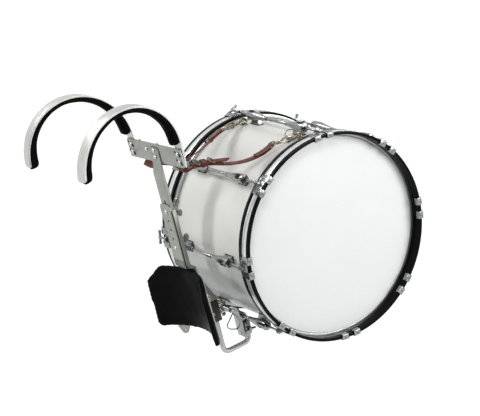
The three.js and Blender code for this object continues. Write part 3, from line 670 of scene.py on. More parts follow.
# Lugs, claws and rods are drawn at the +X side of the drum: X outward, Y along the drum
def lug_shape():
    """A double lug: a bullet on a foot at each end, and the tube between them."""
    sizes = drum_sizes()
    out, spread, bore, window = sizes.rod_circle, sizes.lug_spread, 0.0046, 0.0225
    bullet = turned([(0, -0.04), (0.0052, -0.04), (0.0062, -0.034), (0.0092, -0.012), (0.0117, 0.004),
                     (0.0125, 0.014), (0.0125, 0.036), (0.0118, 0.0392), (0.0105, 0.04), (0.0042, 0.04),
                     (0.0042, 0.03), (0, 0.03)], 36)
    opening = plate(rounded_box(0.0135, 0.024, 0.0062, (0, window)), 0.02, soft=0)
    bullet = without(bullet, put(opening, at(0.0045) @ turn(90, "Y")))
    bmesh.ops.remove_doubles(bullet, verts=bullet.verts, dist=1e-6)
    nut = put(bar(bore, -0.0055, 0.0055, 20), at(0.001, window) @ Y_TO_Z)
    bullet = put(merged(bullet, painted(1, nut)), at(out, spread))
    foot = block((SHELL_RADIUS + 0.001, spread - 0.008, -0.0072), (out, spread + 0.026, 0.0072), 0)
    for vert in foot.verts:
        if vert.co.x > out - 0.001:
            vert.co.y += 0.004 if vert.co.y < spread else -0.004
            vert.co.z *= 0.7
        else:
            vert.co.z *= 1.15
    soften(foot, 0.0016, 3)
    gasket = block((SHELL_RADIUS + 0.0001, spread - 0.0105, -0.0093),
                   (SHELL_RADIUS + 0.0013, spread + 0.0285, 0.0093))
    collar = put(sleeve(bore, 0.0062, -0.0395, -0.0345, 24, 0.0005), at(out, spread - 0.004))
    end = merged(bullet, foot, painted(2, gasket), collar)
    tube = put(bar(bore, 0.036 - spread, spread - 0.036, 28), at(out))
    return merged(copied(end, Matrix(), FLIP), tube)


def add_lugs():
    pattern = lug_shape()
    for i, angle in enumerate(LUG_ANGLES):
        piece(f"tube_lug_{i + 1}", pattern.copy(), DRUM @ turn(-angle, "Y"),
              ["Bright Plate", "Bolt Steel", "Gasket Rubber And Hole Shade"], "drum", [f"lug_{i + 1}"])
    pattern.free()


def hook_shape():
    """One hook of a claw: over the hoop's face, with a rounded tab inside and a long leg outside."""
    sizes = drum_sizes()
    outer, near, thick, tab, wide = sizes.hoop_radius + AIR, sizes.face + AIR, 0.003, 0.012, 0.019
    inner, far, tip = sizes.hoop_radius - sizes.hoop_wall - 0.0009, near + thick, near - HOOK_LEG
    outline = [(outer, tip), (outer + thick * 0.8, tip), (outer + thick, near - tab), (outer + thick, far),
               (inner - thick, far), (inner - thick, far - tab), (inner, far - tab), (inner, near),
               (outer, near)]
    hook = put(plate(outline, wide, soft=0), at(z=-wide / 2))
    bevelled(hook, [edge for edge in hook.edges if abs(edge.verts[0].co.z - edge.verts[1].co.z) > 0.01
                    and edge.verts[0].co.y > far - 0.0005], 0.0022, 4)
    for vert in hook.verts:
        low = near - tab - vert.co.y
        if vert.co.x > outer - 0.0005 and low > 0:
            vert.co.z *= 1 - 0.35 * (low / (HOOK_LEG - tab)) ** 2
    soften(hook, 0.0009, 3, 35)
    # The dark domed dot on the tab is painted shade, standing in for the shade inside the tab's hole.
    hole_shade_dot = put(turned([(0, 0), (0.0028, 0), (0.0026, 0.0006), (0.0016, 0.0011), (0, 0.0012)], 20),
                 at((inner + outer) / 2 + 0.0002, far - 0.0001))
    rib = put(plate(rounded_box(0.004, 0.02, 0.0019), 0.0011, soft=0.0007),
              at(outer + thick - 0.0004, near - 0.015) @ turn(90, "Y"))
    return merged(hook, painted(1, hole_shade_dot), rib)


def claw_shape():
    """Two hooks on a bridge, with the ear that a rod passes."""
    sizes = drum_sizes()
    low, inside, out = sizes.face + AIR - HOOK_LEG, sizes.hoop_radius + AIR, sizes.rod_circle
    half, thick, neck = 0.019, 0.005, inside + 0.0015
    swing = math.degrees(half / sizes.hoop_radius)
    hooks = copied(hook_shape(), turn(swing, "Y"), turn(-swing, "Y"))
    bridge = block((inside, low, -half), (inside + 0.003, low + thick, half), 0.0008)
    angles = [math.radians(15 * i) for i in range(1, 12)]
    rim = [(out + 0.008 * math.sin(a), -0.0085 * math.cos(a)) for a in angles]
    eye = [(neck, -0.009), (out, -0.0085), *rim, (out, 0.0085), (neck, 0.009)]
    ear = put(plate(eye, thick, [round_hole(out, 0, 0.0035)], 0.0007), at(0, low + thick) @ turn(90, "X"))
    return merged(hooks, bridge, ear)


def add_claws():
    pattern = claw_shape()
    for end, side in (("front", FLIP), ("rear", Matrix())):
        for i, angle in enumerate(LUG_ANGLES):
            # Their second finish paints the dark dot on each tab, as painted shade for its hole.
            piece(f"hoop_claw_{end}_{i + 1}", pattern.copy(), DRUM @ turn(-angle, "Y") @ side,
                  ["Bright Plate", "Dark Steel"], "drum", [f"claw_{end}_{i + 1}"])
    pattern.free()


def rod_shape(handled, degrees):
    """A tension rod with two washers, under a T-handle or a square key head."""
    sizes = drum_sizes()
    washer, bullet_end, depth = sizes.face - 0.0244, sizes.lug_spread + 0.04, 0.021
    top = washer + 0.0026
    rod = bar(0.003, bullet_end - depth, top, 20)
    rings = [sleeve(0.003, 0.0062, y, y + 0.0011, 28, 0.0003) for y in (washer, washer + 0.0013)]
    if not handled:
        base = bar(0.0048, top - 0.0003, top + 0.002, 28, 0.0006)
        head = block((-0.0032, top + 0.001, -0.0032), (0.0032, top + 0.009, 0.0032), 0.0009, 3)
        return merged(rod, *rings, base, head)
    middle = top + 0.0308
    shank = turned([(0, top - 0.0003), (0.0052, top - 0.0003), (0.0052, top + 0.003), (0.0034, top + 0.006),
                    (0.0034, middle - 0.007), (0.0038, middle - 0.003), (0.0038, middle), (0, middle)],
                   24, 0.0004)
    half = [(0.0044, 0.002), (0.0036, 0.004), (0.0034, 0.011), (0.0044, 0.0145), (0.0044, 0.0172),
            (0.0032, 0.0188), (0, 0.019)]
    grip = turned([(r, -y) for r, y in reversed(half)] + half, 24)
    return put(merged(rod, *rings, shank, put(grip, at(0, middle) @ Y_TO_Z)), turn(degrees, "Y"))


def add_rods():
    for end, side in (("front", FLIP), ("rear", Matrix())):
        for i, angle in enumerate(LUG_ANGLES):
            name = f"rod_{end}_{i + 1}"
            place = DRUM @ turn(-angle, "Y") @ side @ at(drum_sizes().rod_circle)
            piece(f"tension_{name}", rod_shape(end == "rear", HANDLE_TURNS[i]), place, "Bright Plate", name,
                  [name])


# Carrier
def bolts(places, radius=0.006, height=0.0035):
    """Button heads on the player's side, each at (x, y, z) of its seat."""
    return [put(button_bolt(radius, height), at(*place) @ turn(90, "Z")) for place in places]


def add_cross_plate():
    spread, back = carrier_sizes().arch_spread, 0.0043
    holes = [slot_hole(side * spread, height, 0.031, 0.008, 20)
             for side in (-1, 1) for height in SLOT_HEIGHTS]
    sheet = facing(rounded_box(0.268, 0.048, 0.004, (0, 0.002)), 0.005, back, holes, 0.0007)
    heads = painted(1, *bolts([(back, 0.04, 0.008)]))
    studs = [put(bar(0.0024, 0, 0.005, 16, 0.0008), at(0.0068, y, 0.0258) @ Y_TO_Z) for y in (-0.022, 0.067)]
    piece("yoke_plate", merged(sheet, heads, *studs), YOKE, ["Bar Alloy", "Bolt Steel"], "yoke",
          ["cross_plate"])


def splay(side):
    """Leans an arch: it toes in toward the front, and its top leans outward."""
    toe, tilt = math.tan(math.radians(4.9)), math.tan(math.radians(5.4))
    out = carrier_sizes().arch_spread + toe * ARCH_BACK
    return Matrix(((1, 0, 0, 0), (-side * toe, 1, side * tilt, side * out), (0, 0, 1, 0), (0, 0, 0, 1)))


def arch_length(start):
    return ARCH_RISE - start + carrier_sizes().arch_radius * math.radians(ARCH_END)


def arch_bend(bm, side, start):
    """Bends a strip drawn from X 0, with Y across it and Z inward, up a leg and over the arch.

    It leans by a few degrees on its way up, and twists from there to its tip.
    """
    radius, lean, flare, tip = carrier_sizes().arch_radius, -3.8, 1.6, 6
    centre, straight = ARCH_BACK - radius, ARCH_RISE - start
    top = side * flare + lean
    for vert in bm.verts:
        along = vert.co.x - straight
        angle = max(0, along / radius)
        share = 2 * angle / math.pi
        twist = math.radians(top * min(1, share) + (side * tip - top) * max(0, share - 1))
        c, s = math.cos(twist), math.sin(twist)
        radial, wide = Vector((math.cos(angle), 0, math.sin(angle))), Vector((0, 1, 0))
        middle = Vector((centre, 0, ARCH_RISE + min(0, along))) + radial * radius
        vert.co = middle - (radial * c + wide * s) * vert.co.z + (wide * c - radial * s) * vert.co.y
    bmesh.ops.recalc_face_normals(bm, faces=bm.faces)
    return bm


def add_arches():
    start, half, thick = -0.022, 0.0172, 0.0042
    long = arch_length(start)
    for name, side in (("near", -1), ("far", 1)):
        strip = block((0, -half, -thick), (long, half, 0), 0)
        corners = [edge for edge in strip.edges if all(abs(vert.co.x - long) < 0.001 for vert in edge.verts)
                   and abs(edge.verts[0].co.z - edge.verts[1].co.z) > 0.001]
        bevelled(strip, corners, 0.009, 6)
        arch_bend(finely(strip, 0.0045, "x"), side, start)
        put(soften(strip, 0.0012, 3, 50), splay(side))
        fasteners = []
        for height in SLOT_HEIGHTS:
            y = side * carrier_sizes().arch_spread
            fasteners += bolts([(0.004, y, height)])
            fasteners.append(put(bar(0.003, 0, 0.0098, 16), at(0.004, y, height) @ Y_TO_X))
            fasteners.append(put(hex_nut(0.0058, 0.0033, 0.003), at(0.0138, y, height) @ Y_TO_X))
        piece(f"shoulder_arch_{name}", merged(strip, painted(1, *fasteners)), YOKE,
              ["Arch Alloy", "Bolt Steel"], f"arch_{name}", [f"arch_{name}"])


def add_shoulder_pads():
    """Pads inside the arches, thinner over the shoulder than at the leg and at the rounded tip."""
    start, half, deep, lead, round_end = 0.037, 0.0184, 0.01, 0.011, 0.013
    long, thin = arch_length(start) + 0.0085, carrier_sizes().pad_thickness - 0.008
    for name, side in (("near", -1), ("far", 1)):
        pad = finely(block((0.002, -half, 0), (long, half, deep), 0), 0.0045, "x")
        finely(finely(pad, 0.006, "y"), 0.0024, "z")
        for vert in pad.verts:
            along, across, level = vert.co.x, vert.co.y, vert.co.z / deep
            from_top = 2 * max(0, along - lead) / (long - lead) - 1
            swell = 0.014 if from_top > 0 else 0.0075
            thick = (thin + swell * from_top ** 2) * (1 - 0.16 * (across / half) ** 2)
            tip = math.sqrt(1 - 0.96 * max(0, 1 - (long - along) / round_end) ** 2)
            vert.co.y = across * (0.25 + 0.75 * tip)
            vert.co.z = AIR + level * thick * tip
        pad = soften(arch_bend(pad, side, start), 0.0024, 3, 50)
        made = piece(f"shoulder_pad_{name}", pad, YOKE @ splay(side), "Pad Cover", f"arch_{name}",
                     [f"arch_pad_{name}"], 180)
        puff(made, 0.004)


def puff(made, voxel):
    """Blows a pad's cover up a little with the cloth solver, each point within a limit of where it was."""
    limit, frames, passes = 0.0012, 20, 8
    remesh = made.modifiers.new("voxels", "REMESH")
    remesh.mode = "VOXEL"
    remesh.voxel_size = voxel
    remesh.use_smooth_shade = True
    apply_modifiers(made)
    before = [vert.co.copy() for vert in made.data.vertices]
    cloth = made.modifiers.new("cover", "CLOTH")
    cloth.settings.use_pressure = True
    cloth.settings.uniform_pressure_force = 4.0
    cloth.settings.effector_weights.gravity = 0
    cloth.settings.quality = 5
    scene = bpy.context.scene
    for step in range(1, frames + 1):
        scene.frame_set(step)
    after = [vert.co.copy() for vert in evaluated(made).data.vertices]
    made.modifiers.remove(cloth)
    for vert, start, end in zip(made.data.vertices, before, after):
        move = end - start
        vert.co = start + (move if move.length <= limit else move * (limit / move.length))
    scene.frame_set(1)
    bm = shape_of(made.data)
    for _ in range(passes):
        bmesh.ops.smooth_vert(bm, verts=bm.verts, factor=0.5, use_axis_x=True, use_axis_y=True,
                              use_axis_z=True)
    bm.to_mesh(made.data)
    bm.free()
    finer = made.modifiers.new("finer", "SUBSURF")
    finer.levels = finer.render_levels = 1
    apply_modifiers(made)
    for face in made.data.polygons:
        face.use_smooth = True


def apply_modifiers(made):
    result = bpy.data.meshes.new_from_object(evaluated(made))
    made.modifiers.clear()
    made.data = result


def add_spine():
    """The upper bar, open below for the clamp bolts and thinner where it lies on the cross plate."""
    half, slot, top, bottom, fork, corner = 0.0215, 0.004, 0.0185, -0.254, -0.122, 0.007
    face, thick, step, step_low, step_high = -0.005, 0.009, 0.0063, -0.054, -0.026
    outline = [(half, top - corner), (half - corner, top), (corner - half, top), (-half, top - corner),
               (-half, bottom), (-slot, bottom), *arc(0, fork - slot, slot, 180, 0, 10), (slot, bottom),
               (half, bottom)]
    upper = finely(facing(outline, thick, face, (), 0.0009, 3), 0.005, "z")
    for vert in upper.verts:
        rise = min(1, max(0, (vert.co.z - step_low) / (step_high - step_low)))
        vert.co.x += step * rise * rise * (3 - 2 * rise) * (face + thick - vert.co.x) / thick
    heads = painted(1, *bolts([(0.0013, 0, -0.0065), (0.0013, 0, 0.0105)]))
    piece("spine_upper_bar", merged(upper, heads), CARRIER, ["Bar Alloy", "Bolt Steel"], "yoke",
          ["spine_bar"])


def add_lower_bar():
    """A channel that steps forward at its lower end, with cheeks down to the clamp block."""
    front, half, thick, top, joggle, tail = -0.0093, 0.0258, 0.004, -0.131, -0.303, 0.0156
    holes = [round_hole(0, CLAMP_BOLTS["upper"] - 0.0245 * i, 0.0036) for i in range(1, 4)]
    outline = rounded_box(half * 2, top - joggle, 0.014, (0, (top + joggle) / 2), 10)
    web = facing(outline, thick, front, holes, 0.0006)
    foot = facing([(-half, joggle), (half, joggle), (half, joggle + 0.02), (-half, joggle + 0.02)], thick,
                  front)
    sides = [sorted((side * 0.0218, side * half)) for side in (-1, 1)]
    flanges = [block((front, low, joggle), (front + 0.015, high, top - 0.014), 0.0008)
               for low, high in sides]
    step = [(front, joggle + 0.014), (front, joggle), (tail, -0.3125), (tail, -0.48), (tail + thick, -0.48),
            (tail + thick, -0.3085), (front + thick, joggle + thick), (front + thick, joggle + 0.014)]
    cheek = [(tail + 0.0037, -0.326), (0.0595, -0.4177), (0.0595, -0.4197), (tail + 0.0037, -0.4197)]
    cheeks = [upright(cheek, 0.003, side * 0.013) for side in (-1, 1)]
    heads = bolts([(front, 0, z) for z in CLAMP_BOLTS.values()])
    shanks = [put(bar(0.003, front, 0.02, 16, 0.0004), at(z=z) @ Y_TO_X) for z in CLAMP_BOLTS.values()]
    parts = merged(web, foot, *flanges, upright(step, half * 2, soft=0.0008), *cheeks,
                   painted(1, *heads, *shanks))
    piece("spine_lower_bar", parts, CARRIER, ["Bar Alloy", "Bolt Steel"], "drum", ["lower_bar"])


def add_wing_nuts():
    low, high = 0.0043, 0.0343
    wing = [(low + 0.006, 0.004), (low + 0.008, 0.0075), (high - 0.013, 0.0215), (high - 0.008, 0.026),
            (high - 0.003, 0.0235), (high, 0.016), (high - 0.002, 0.0085), (low + 0.0135, 0.0038)]
    for name, z in CLAMP_BOLTS.items():
        hub = turned([(0.0034, low), (0.0078, low), (0.0078, low + 0.002), (0.0066, low + 0.014),
                      (0.0034, low + 0.014)], 28, 0.0006)
        leaves = copied(upright(wing, 0.0045, soft=0.0013, segments=3), Matrix(), turn(180, "X"))
        piece(f"clamp_nut_{name}", merged(put(hub, Y_TO_X), leaves), CARRIER @ at(z=z), "Bright Plate",
              f"wing_nut_{name}", [f"wing_nut_{name}"])


# Belly plate and pad, both wrapped round the player
def wrapped(bm, back):
    """Bends a flat shape drawn in Y and Z, thick along X, round an upright axis behind it."""
    for vert in bm.verts:
        reach = BELLY_WRAP + vert.co.x - back
        vert.co.x = back - BELLY_WRAP + math.sqrt(max(0, reach * reach - vert.co.y * vert.co.y))
    return bm


def finely(bm, size, axes):
    """Cuts a shape into a grid along some axes so that it can bend."""
    low = [min(vert.co[i] for vert in bm.verts) for i in range(3)]
    high = [max(vert.co[i] for vert in bm.verts) for i in range(3)]
    for i in ("xyz".index(letter) for letter in axes):
        count = int((high[i] - low[i]) / size)
        for k in range(1, count):
            point, normal = Vector(), Vector()
            point[i], normal[i] = low[i] + (high[i] - low[i]) * k / count, 1
            bmesh.ops.bisect_plane(bm, geom=bm.verts[:] + bm.edges[:] + bm.faces[:], plane_co=point,
                                   plane_no=normal, dist=1e-7)
    return bm


def belly_outline(inset, top, bottom, ears=False):
    half, upper, shoulder, corner = 0.146 - inset, 0.106 - inset, -0.352, 0.01
    right = arc(half - corner, bottom + corner, corner, -90, 0, 5)
    right += [(half, shoulder - 0.008), (half - 0.0012, shoulder - 0.002), (half - 0.005, shoulder + 0.0035),
              (upper + 0.0045, top - 0.005), (upper + 0.0005, top - 0.0015), (upper - 0.006, top)]
    if ears:
        right = [(0.062, bottom), (0.082, bottom - 0.0305), (0.087, bottom - 0.0335),
                 (0.093, bottom - 0.0335), (0.098, bottom - 0.0305), (0.112, bottom)] + right
    return right + [(-y, z) for y, z in reversed(right)]


def add_belly_plate():
    back = 0.0123
    holes = [round_hole(side * 0.09, -0.502, 0.003) for side in (-1, 1)]
    sheet = finely(facing(belly_outline(0.022, -0.324, -0.478, True), 0.003, back, holes, 0), 0.012, "y")
    soften(sheet, 0.0005, 2, 60)
    piece("belly_backing", wrapped(sheet, back), BELLY, "Bar Alloy", "drum", ["belly_plate"])


def add_belly_pad():
    back, thick = 0.012, 0.0112
    flat = finely(facing(belly_outline(0.001, -0.314, -0.486), thick, back - thick, (), 0), 0.006, "yz")
    soften(flat, 0.0035, 4, 60)
    made = piece("belly_cushion", wrapped(flat, back), BELLY, "Belly Pad Cover", "drum", ["belly_pad"],
                 60)
    puff(made, 0.003)


def bent_tube(radius, corners, bend):
    """A round tube in the XZ plane through corners, with even bends."""
    bm = bmesh.new()
    bmesh.ops.create_circle(bm, segments=28, radius=radius, cap_ends=True)
    points = [Vector(corner) for corner in corners]
    direction = (points[1] - points[0]).normalized()
    aim = Vector((0, 0, 1)).rotation_difference(direction).to_matrix().to_4x4()
    put(bm, Matrix.Translation(points[0]) @ aim)
    for face in bm.faces:
        if face.normal.dot(direction) > 0:
            face.normal_flip()
    last, here = bm.faces[:], points[0]
    for i in range(1, len(points)):
        direction = (points[i] - points[i - 1]).normalized()
        stop = points[i]
        if i < len(points) - 1:
            after = (points[i + 1] - points[i]).normalized()
            angle = direction.angle(after)
            stop = points[i] - direction * bend * math.tan(angle / 2)
        last = extruded(bm, last, stop - here, i == 1)
        if i < len(points) - 1:
            axis = direction.cross(after).normalized()
            made = bmesh.ops.spin(bm, geom=last, cent=stop + axis.cross(direction) * bend, axis=axis,
                                  dvec=(0, 0, 0), angle=angle, steps=10, use_merge=False,
                                  use_normal_flip=False, use_duplicate=False)["geom_last"]
            bmesh.ops.delete(bm, geom=[face for face in last if face.is_valid and face not in made],
                             context="FACES_ONLY")
            last = faces_in(made)
            here = points[i] + after * bend * math.tan(angle / 2)
    return closed(bm)


def wings(outline, thick, y=0.0):
    """Two leaves of a wing screw, drawn in X and Y."""
    leaf = put(plate(outline, thick, soft=0.001, segments=3), at(0, y, -thick / 2))
    return copied(leaf, Matrix(), turn(180, "Y"))


def add_lower_tube():
    """The bent tube with the split block that clamps it, and the block's screws."""
    ahead, top, behind = TUBE_TOP.x, TUBE_TOP.z, 0.047
    bottom = top - 0.055
    tube = bent_tube(0.007, [(behind, 0, -0.422), (behind, 0, bottom), (ahead, 0, bottom), (ahead, 0, top)],
                     0.018)
    body = [(0.0199, -0.48), (0.0595, -0.48), (0.0595, -0.422), (0.0575, -0.42), (0.0199, -0.42)]
    clamp = upright(body, 0.029, soft=0.0014, segments=3)
    split = block((0.046, -0.0155, -0.4803), (0.0482, 0.0155, -0.4197), 0.0003)
    heads = [put(button_bolt(size, 0.0032), at(x, -0.0145, z) @ FLIP)
             for x, z, size in ((0.0375, -0.404, 0.0075), (0.036, -0.455, 0.006))]
    head = turned([(0, 0.066), (0.0052, 0.066), (0.0062, 0.068), (0.0062, 0.0745), (0.0045, 0.0765),
                   (0, 0.0765)], 28, 0.0006)
    leaf = [(0.004, 0.068), (0.0125, 0.0665), (0.015, 0.0695), (0.014, 0.075), (0.009, 0.079),
            (0.004, 0.0765)]
    screw = merged(bar(0.0028, 0.0585, 0.072, 16), head, wings(leaf, 0.0036))
    screws = copied(screw, at(z=-0.434) @ Y_TO_X @ turn(25, "Y"), at(z=-0.4635) @ Y_TO_X @ turn(70, "Y"))
    parts = merged(tube, painted(1, clamp, split), painted(2, *heads, screws))
    piece("lower_tube_and_clamp", parts, CARRIER, ["Tube Steel", "Clamp Plastic", "Bolt Steel"], "drum",
          ["lower_tube"])


def add_bracket():
    """A plate with a ring round the lug's tube and a sleeve for the lower tube, its bail and its screw."""
    ahead, top, level = TUBE_TOP.x, TUBE_TOP.z, GRIP.z
    front, low = GRIP.x - 0.0115, top - 0.034
    back = block((front, -0.017, low), (front + 0.004, 0.017, level + 0.0254), 0.001, 3)
    ring = put(sleeve(0.0052, 0.0095, -0.017, 0.017, 32, 0.0006), Matrix.Translation(GRIP))
    socket = put(sleeve(0.0075, 0.012, low, top + 0.004, 32, 0.0007), at(ahead) @ Y_TO_Z)
    web = without(block((front + 0.001, -0.004, low + 0.001), (ahead, 0.004, level), 0.0008),
                  put(bar(0.0074, low - 0.002, top + 0.002, 32, 0), at(ahead) @ Y_TO_Z))
    heads = bolts([(front, -0.009, level + 0.016), (front, 0.009, level + 0.016), (front, 0, low + 0.008)],
                  0.0045, 0.0028)
    bail = wire([(front + x, y, level + z) for x, y, z in (
        (0.001, 0.0185, 0.004), (-0.012, 0.0195, -0.01), (-0.0235, 0.0195, -0.023),
        (-0.0225, 0.0195, -0.029), (-0.004, 0.0185, -0.0405), (0.002, 0.0175, -0.042))], 0.0016)
    ends = copied(bar(0.0028, 0.0165, 0.0205, 16, 0.0004), at(front + 0.0015, 0, level + 0.004),
                  at(front + 0.002, 0, level - 0.042))
    piece("tube_bracket", merged(back, ring, socket, web, painted(1, *heads), bail, ends), CARRIER,
          ["Bright Plate", "Bolt Steel"], "drum", ["shell_bracket"])
    seat = -0.0123
    shaft = bar(0.003, seat - 0.006, -0.0073, 16)
    hub = turned([(0, seat - 0.012), (0.004, seat - 0.012), (0.006, seat - 0.009), (0.006, seat), (0, seat)],
                 24, 0.0005)
    leaf = [(0.0035, 0), (0.012, -0.0035), (0.015, -0.001), (0.0145, 0.005), (0.006, 0.0095),
            (0.0035, 0.009)]
    screw = merged(shaft, hub, wings(leaf, 0.0035, seat - 0.011))
    piece("tube_clamp_screw", screw, CARRIER @ at(ahead, 0, top - 0.017), "Bright Plate", "clamp_screw",
          ["clamp_screw"])


# Sling strap, along points given from the drum's centre
FRONT_RUN = [
    (-0.104, -0.137, 0.258), (-0.138, -0.128, 0.240), (-0.172, -0.119, 0.216), (-0.216, -0.113, 0.202),
    (-0.262, -0.108, 0.199), (-0.306, -0.102, 0.203), (-0.346, -0.095, 0.200), (-0.372, -0.090, 0.194),
    (-0.385, -0.064, 0.206), (-0.3906, -0.024, 0.204), (-0.389, 0.012, 0.196), (-0.384, 0.048, 0.184),
    (-0.385, 0.088, 0.187)]
REAR_RUN = [
    (-0.084, 0.134, 0.252), (-0.122, 0.118, 0.248), (-0.176, 0.084, 0.236), (-0.236, 0.040, 0.221),
    (-0.300, -0.008, 0.209), (-0.350, -0.046, 0.205), (-0.380, -0.067, 0.206)]


def along_path(points, share):
    """A place on a smooth path at a share of its knots, and the heading there."""
    knots = [Vector(p) for p in points]
    spot = min(max(share, 0), 1) * (len(knots) - 1)
    i = min(int(spot), len(knots) - 2)
    t = spot - i
    a, b = knots[max(i - 1, 0)], knots[i]
    c, d = knots[i + 1], knots[min(i + 2, len(knots) - 1)]
    square, cube = 2 * a - 5 * b + 4 * c - d, 3 * b - a - 3 * c + d
    place = 0.5 * (2 * b + (c - a) * t + square * t ** 2 + cube * t ** 3)
    heading = 0.5 * (c - a + 2 * square * t + 3 * cube * t ** 2)
    return place, heading.normalized()


def axes_at(place, heading):
    """Axes at a place: X along a heading, Y across it, Z away from the drum."""
    aside = Vector((place.x, 0, place.z)).cross(heading).normalized()
    outward = heading.cross(aside)
    return Matrix.Translation(place) @ Matrix((heading, aside, outward)).transposed().to_4x4()


def on_strap(points, share, lift=0.0):
    """Axes on the strap, lifted off it: X toward the cross plate, Y across it, Z away from the drum."""
    place, heading = along_path(points, share)
    return axes_at(place, heading) @ at(z=lift)


def ribbon(points, width, thick, start, end, steps, lift=0.0, rise=0.0, point=0.0):
    """A flat strap along a share of a path. Its first end may rise off the path and be cut to a point."""
    bm = bmesh.new()
    bmesh.ops.create_grid(bm, x_segments=steps, y_segments=6, size=1)
    for vert in bm.verts:
        near = (1 - vert.co.x) / 2
        across = vert.co.y * (1 - point * max(0, near - 0.8) * 5)
        place = on_strap(points, start + (end - start) * (1 - near), lift + rise * near ** 1.5)
        vert.co = place @ Vector((0, across * width / 2, thick / 2 - 0.0005 * across * across))
    bmesh.ops.recalc_face_normals(bm, faces=bm.faces)
    bmesh.ops.solidify(bm, geom=bm.faces[:], thickness=thick)
    bmesh.ops.recalc_face_normals(bm, faces=bm.faces)
    return soften(bm, thick * 0.25, 2, 50)


def buckle(width, length):
    """A buckle that lies on the strap, with its bar and tongue."""
    x, y, cut_x, cut_y = length / 2, width / 2, length * 0.4, width * 0.41
    corners = [(x, cut_y), (cut_x, y), (-cut_x, y), (-x, cut_y), (-x, -cut_y), (-cut_x, -y), (cut_x, -y),
               (x, -cut_y)]
    rim = wire([(a, b, 0) for a, b in corners], 0.0015, True)
    tongue = wire([(x * 0.9, 0, 0.001), (0, 0, 0.0026), (-x * 1.15, 0, 0.0014)], 0.0012)
    return merged(rim, put(bar(0.0013, -y, y, 16), at(x * 0.9)), tongue)


def keeper(width, height):
    opening = rounded_box(width + 0.0004, height + 0.0004, 0.0008)
    return facing(rounded_box(width + 0.0036, height + 0.0036, 0.002), 0.007, -0.0035, [opening], 0.0004)


def rivet():
    return put(button_bolt(0.0036, 0.0018), Y_TO_Z)


def stitches(points, start, end, offset, lift, count):
    """Two rows of thread along a doubled part of the strap."""
    one = block((-0.0015, -0.0004, -0.0002), (0.0015, 0.0004, 0.0004), 0)
    return copied(one, *[on_strap(points, start + (end - start) * i / count, lift) @ at(0, side * offset)
                         for side in (-1, 1) for i in range(count + 1)])


def strap_end(points, wide, start, end):
    """The doubled end that holds the hook, with its fold, rivet and stitching."""
    fold = put(bar(0.0036, 0.0005 - wide / 2, wide / 2 - 0.0005, 20, 0.0005),
               on_strap(points, start, 0.0026))
    doubled = ribbon(points, wide * 0.96, LEATHER, start + 0.003, end, 24, 0.0038)
    thread = painted(1, stitches(points, start + 0.02, end - 0.012, wide * 0.36, 0.0051, 7))
    stud = painted(2, put(rivet(), on_strap(points, (start + end) / 2, 0.0048)))
    return merged(fold, doubled, thread, stud)


def strap_leather():
    """Both runs with their doubled ends, and the front run's buckled overlap with its pointed end."""
    wide = carrier_sizes().strap_width
    narrow, front_start, rear_start = wide * 0.9, 0.1, 0.27
    base = [ribbon(FRONT_RUN, wide, LEATHER, front_start, 1, 150),
            ribbon(REAR_RUN, narrow, LEATHER, rear_start, 1, 100)]
    ends = [strap_end(FRONT_RUN, wide, front_start, 0.2), strap_end(REAR_RUN, narrow, rear_start, 0.42)]
    layers = [ribbon(FRONT_RUN, wide * 0.97, 0.0028, 0.36, 0.575, 44, lift=0.003),
              ribbon(FRONT_RUN, wide * 0.94, LEATHER, 0.42, 0.53, 22, lift=0.006),
              ribbon(FRONT_RUN, wide * 0.9, LEATHER, 0.33, 0.42, 20, lift=0.0062, rise=0.0075, point=0.75)]
    keepers = [put(keeper(wide, 0.0095), on_strap(FRONT_RUN, share, 0.003)) for share in (0.452, 0.466)]
    keepers.append(put(keeper(narrow, 0.0065), on_strap(REAR_RUN, 0.45, 0.0018)))
    buckles = [put(buckle(wide + 0.0045, 0.013), on_strap(FRONT_RUN, share, 0.0085) @ turn(-16, "Y"))
               for share in (0.42, 0.495)]
    studs = [put(rivet(), on_strap(FRONT_RUN, 0.555, 0.0044) @ at(0, y)) for y in (-0.0045, 0.0045)]
    thread = [stitches(FRONT_RUN, 0.54, 0.57, wide * 0.4, 0.0045, 6),
              stitches(FRONT_RUN, 0.43, 0.49, wide * 0.38, 0.0075, 10)]
    # Dark discs on the front run are painted shade: they stand for its punched holes and the shade in them.
    hole_shade_discs = [put(bar(0.0015, -0.0002, 0.0003, 14, 0),
                   on_strap(FRONT_RUN, 0.24 + 0.022 * i, 0.0013) @ Y_TO_Z)
               for i in range(4)]
    return merged(*base, *ends, *layers, *keepers, painted(1, *thread), painted(2, *buckles, *studs),
                  painted(3, *hole_shade_discs))


def snap_hook(length, size):
    """A swivel snap hook along X whose mouth closes at a length, with its gate and thumb knob."""
    eye = put(ring_of(0.0066 * size, 0.0021 * size, 28), at(0.002 * size) @ turn(90, "X"))
    barrel = turned([(0, 0.007), (0.004, 0.007), (0.0058, 0.009), (0.0058, 0.0125), (0.0043, 0.014),
                     (0.0043, 0.0155), (0.0054, 0.017), (0.0046, 0.021), (0, 0.021)], 20)
    put(barrel, Y_TO_X @ Matrix.Scale(size, 4))
    mouth, reach = length - 0.006, 0.0066
    hook = wire([(0.019 * size, 0, 0), (0.026 * size, 0, 0.0035), (mouth - 0.004, 0, reach),
                 (mouth + 0.007, 0, reach * 0.95), (length + 0.0072, 0, 0), (length + 0.002, 0, -reach),
                 (mouth - 0.003, 0, -0.0062)], 0.0029 * size)
    gate = wire([(0.02 * size, 0, -0.001), (0.028 * size, 0, -0.0048), (mouth - 0.004, 0, -0.0058)],
                0.0015 * size)
    knob = put(bar(0.0013, -0.004, 0.004, 14), at(0.03 * size, 0, -0.0062))
    return merged(eye, barrel, hook, gate, knob)


def hooked(start, end, size):
    """A snap hook from one point to another."""
    start, end = Vector(start), Vector(end)
    span = end - start
    return put(snap_hook(span.length, size), axes_at(start, span.normalized()))


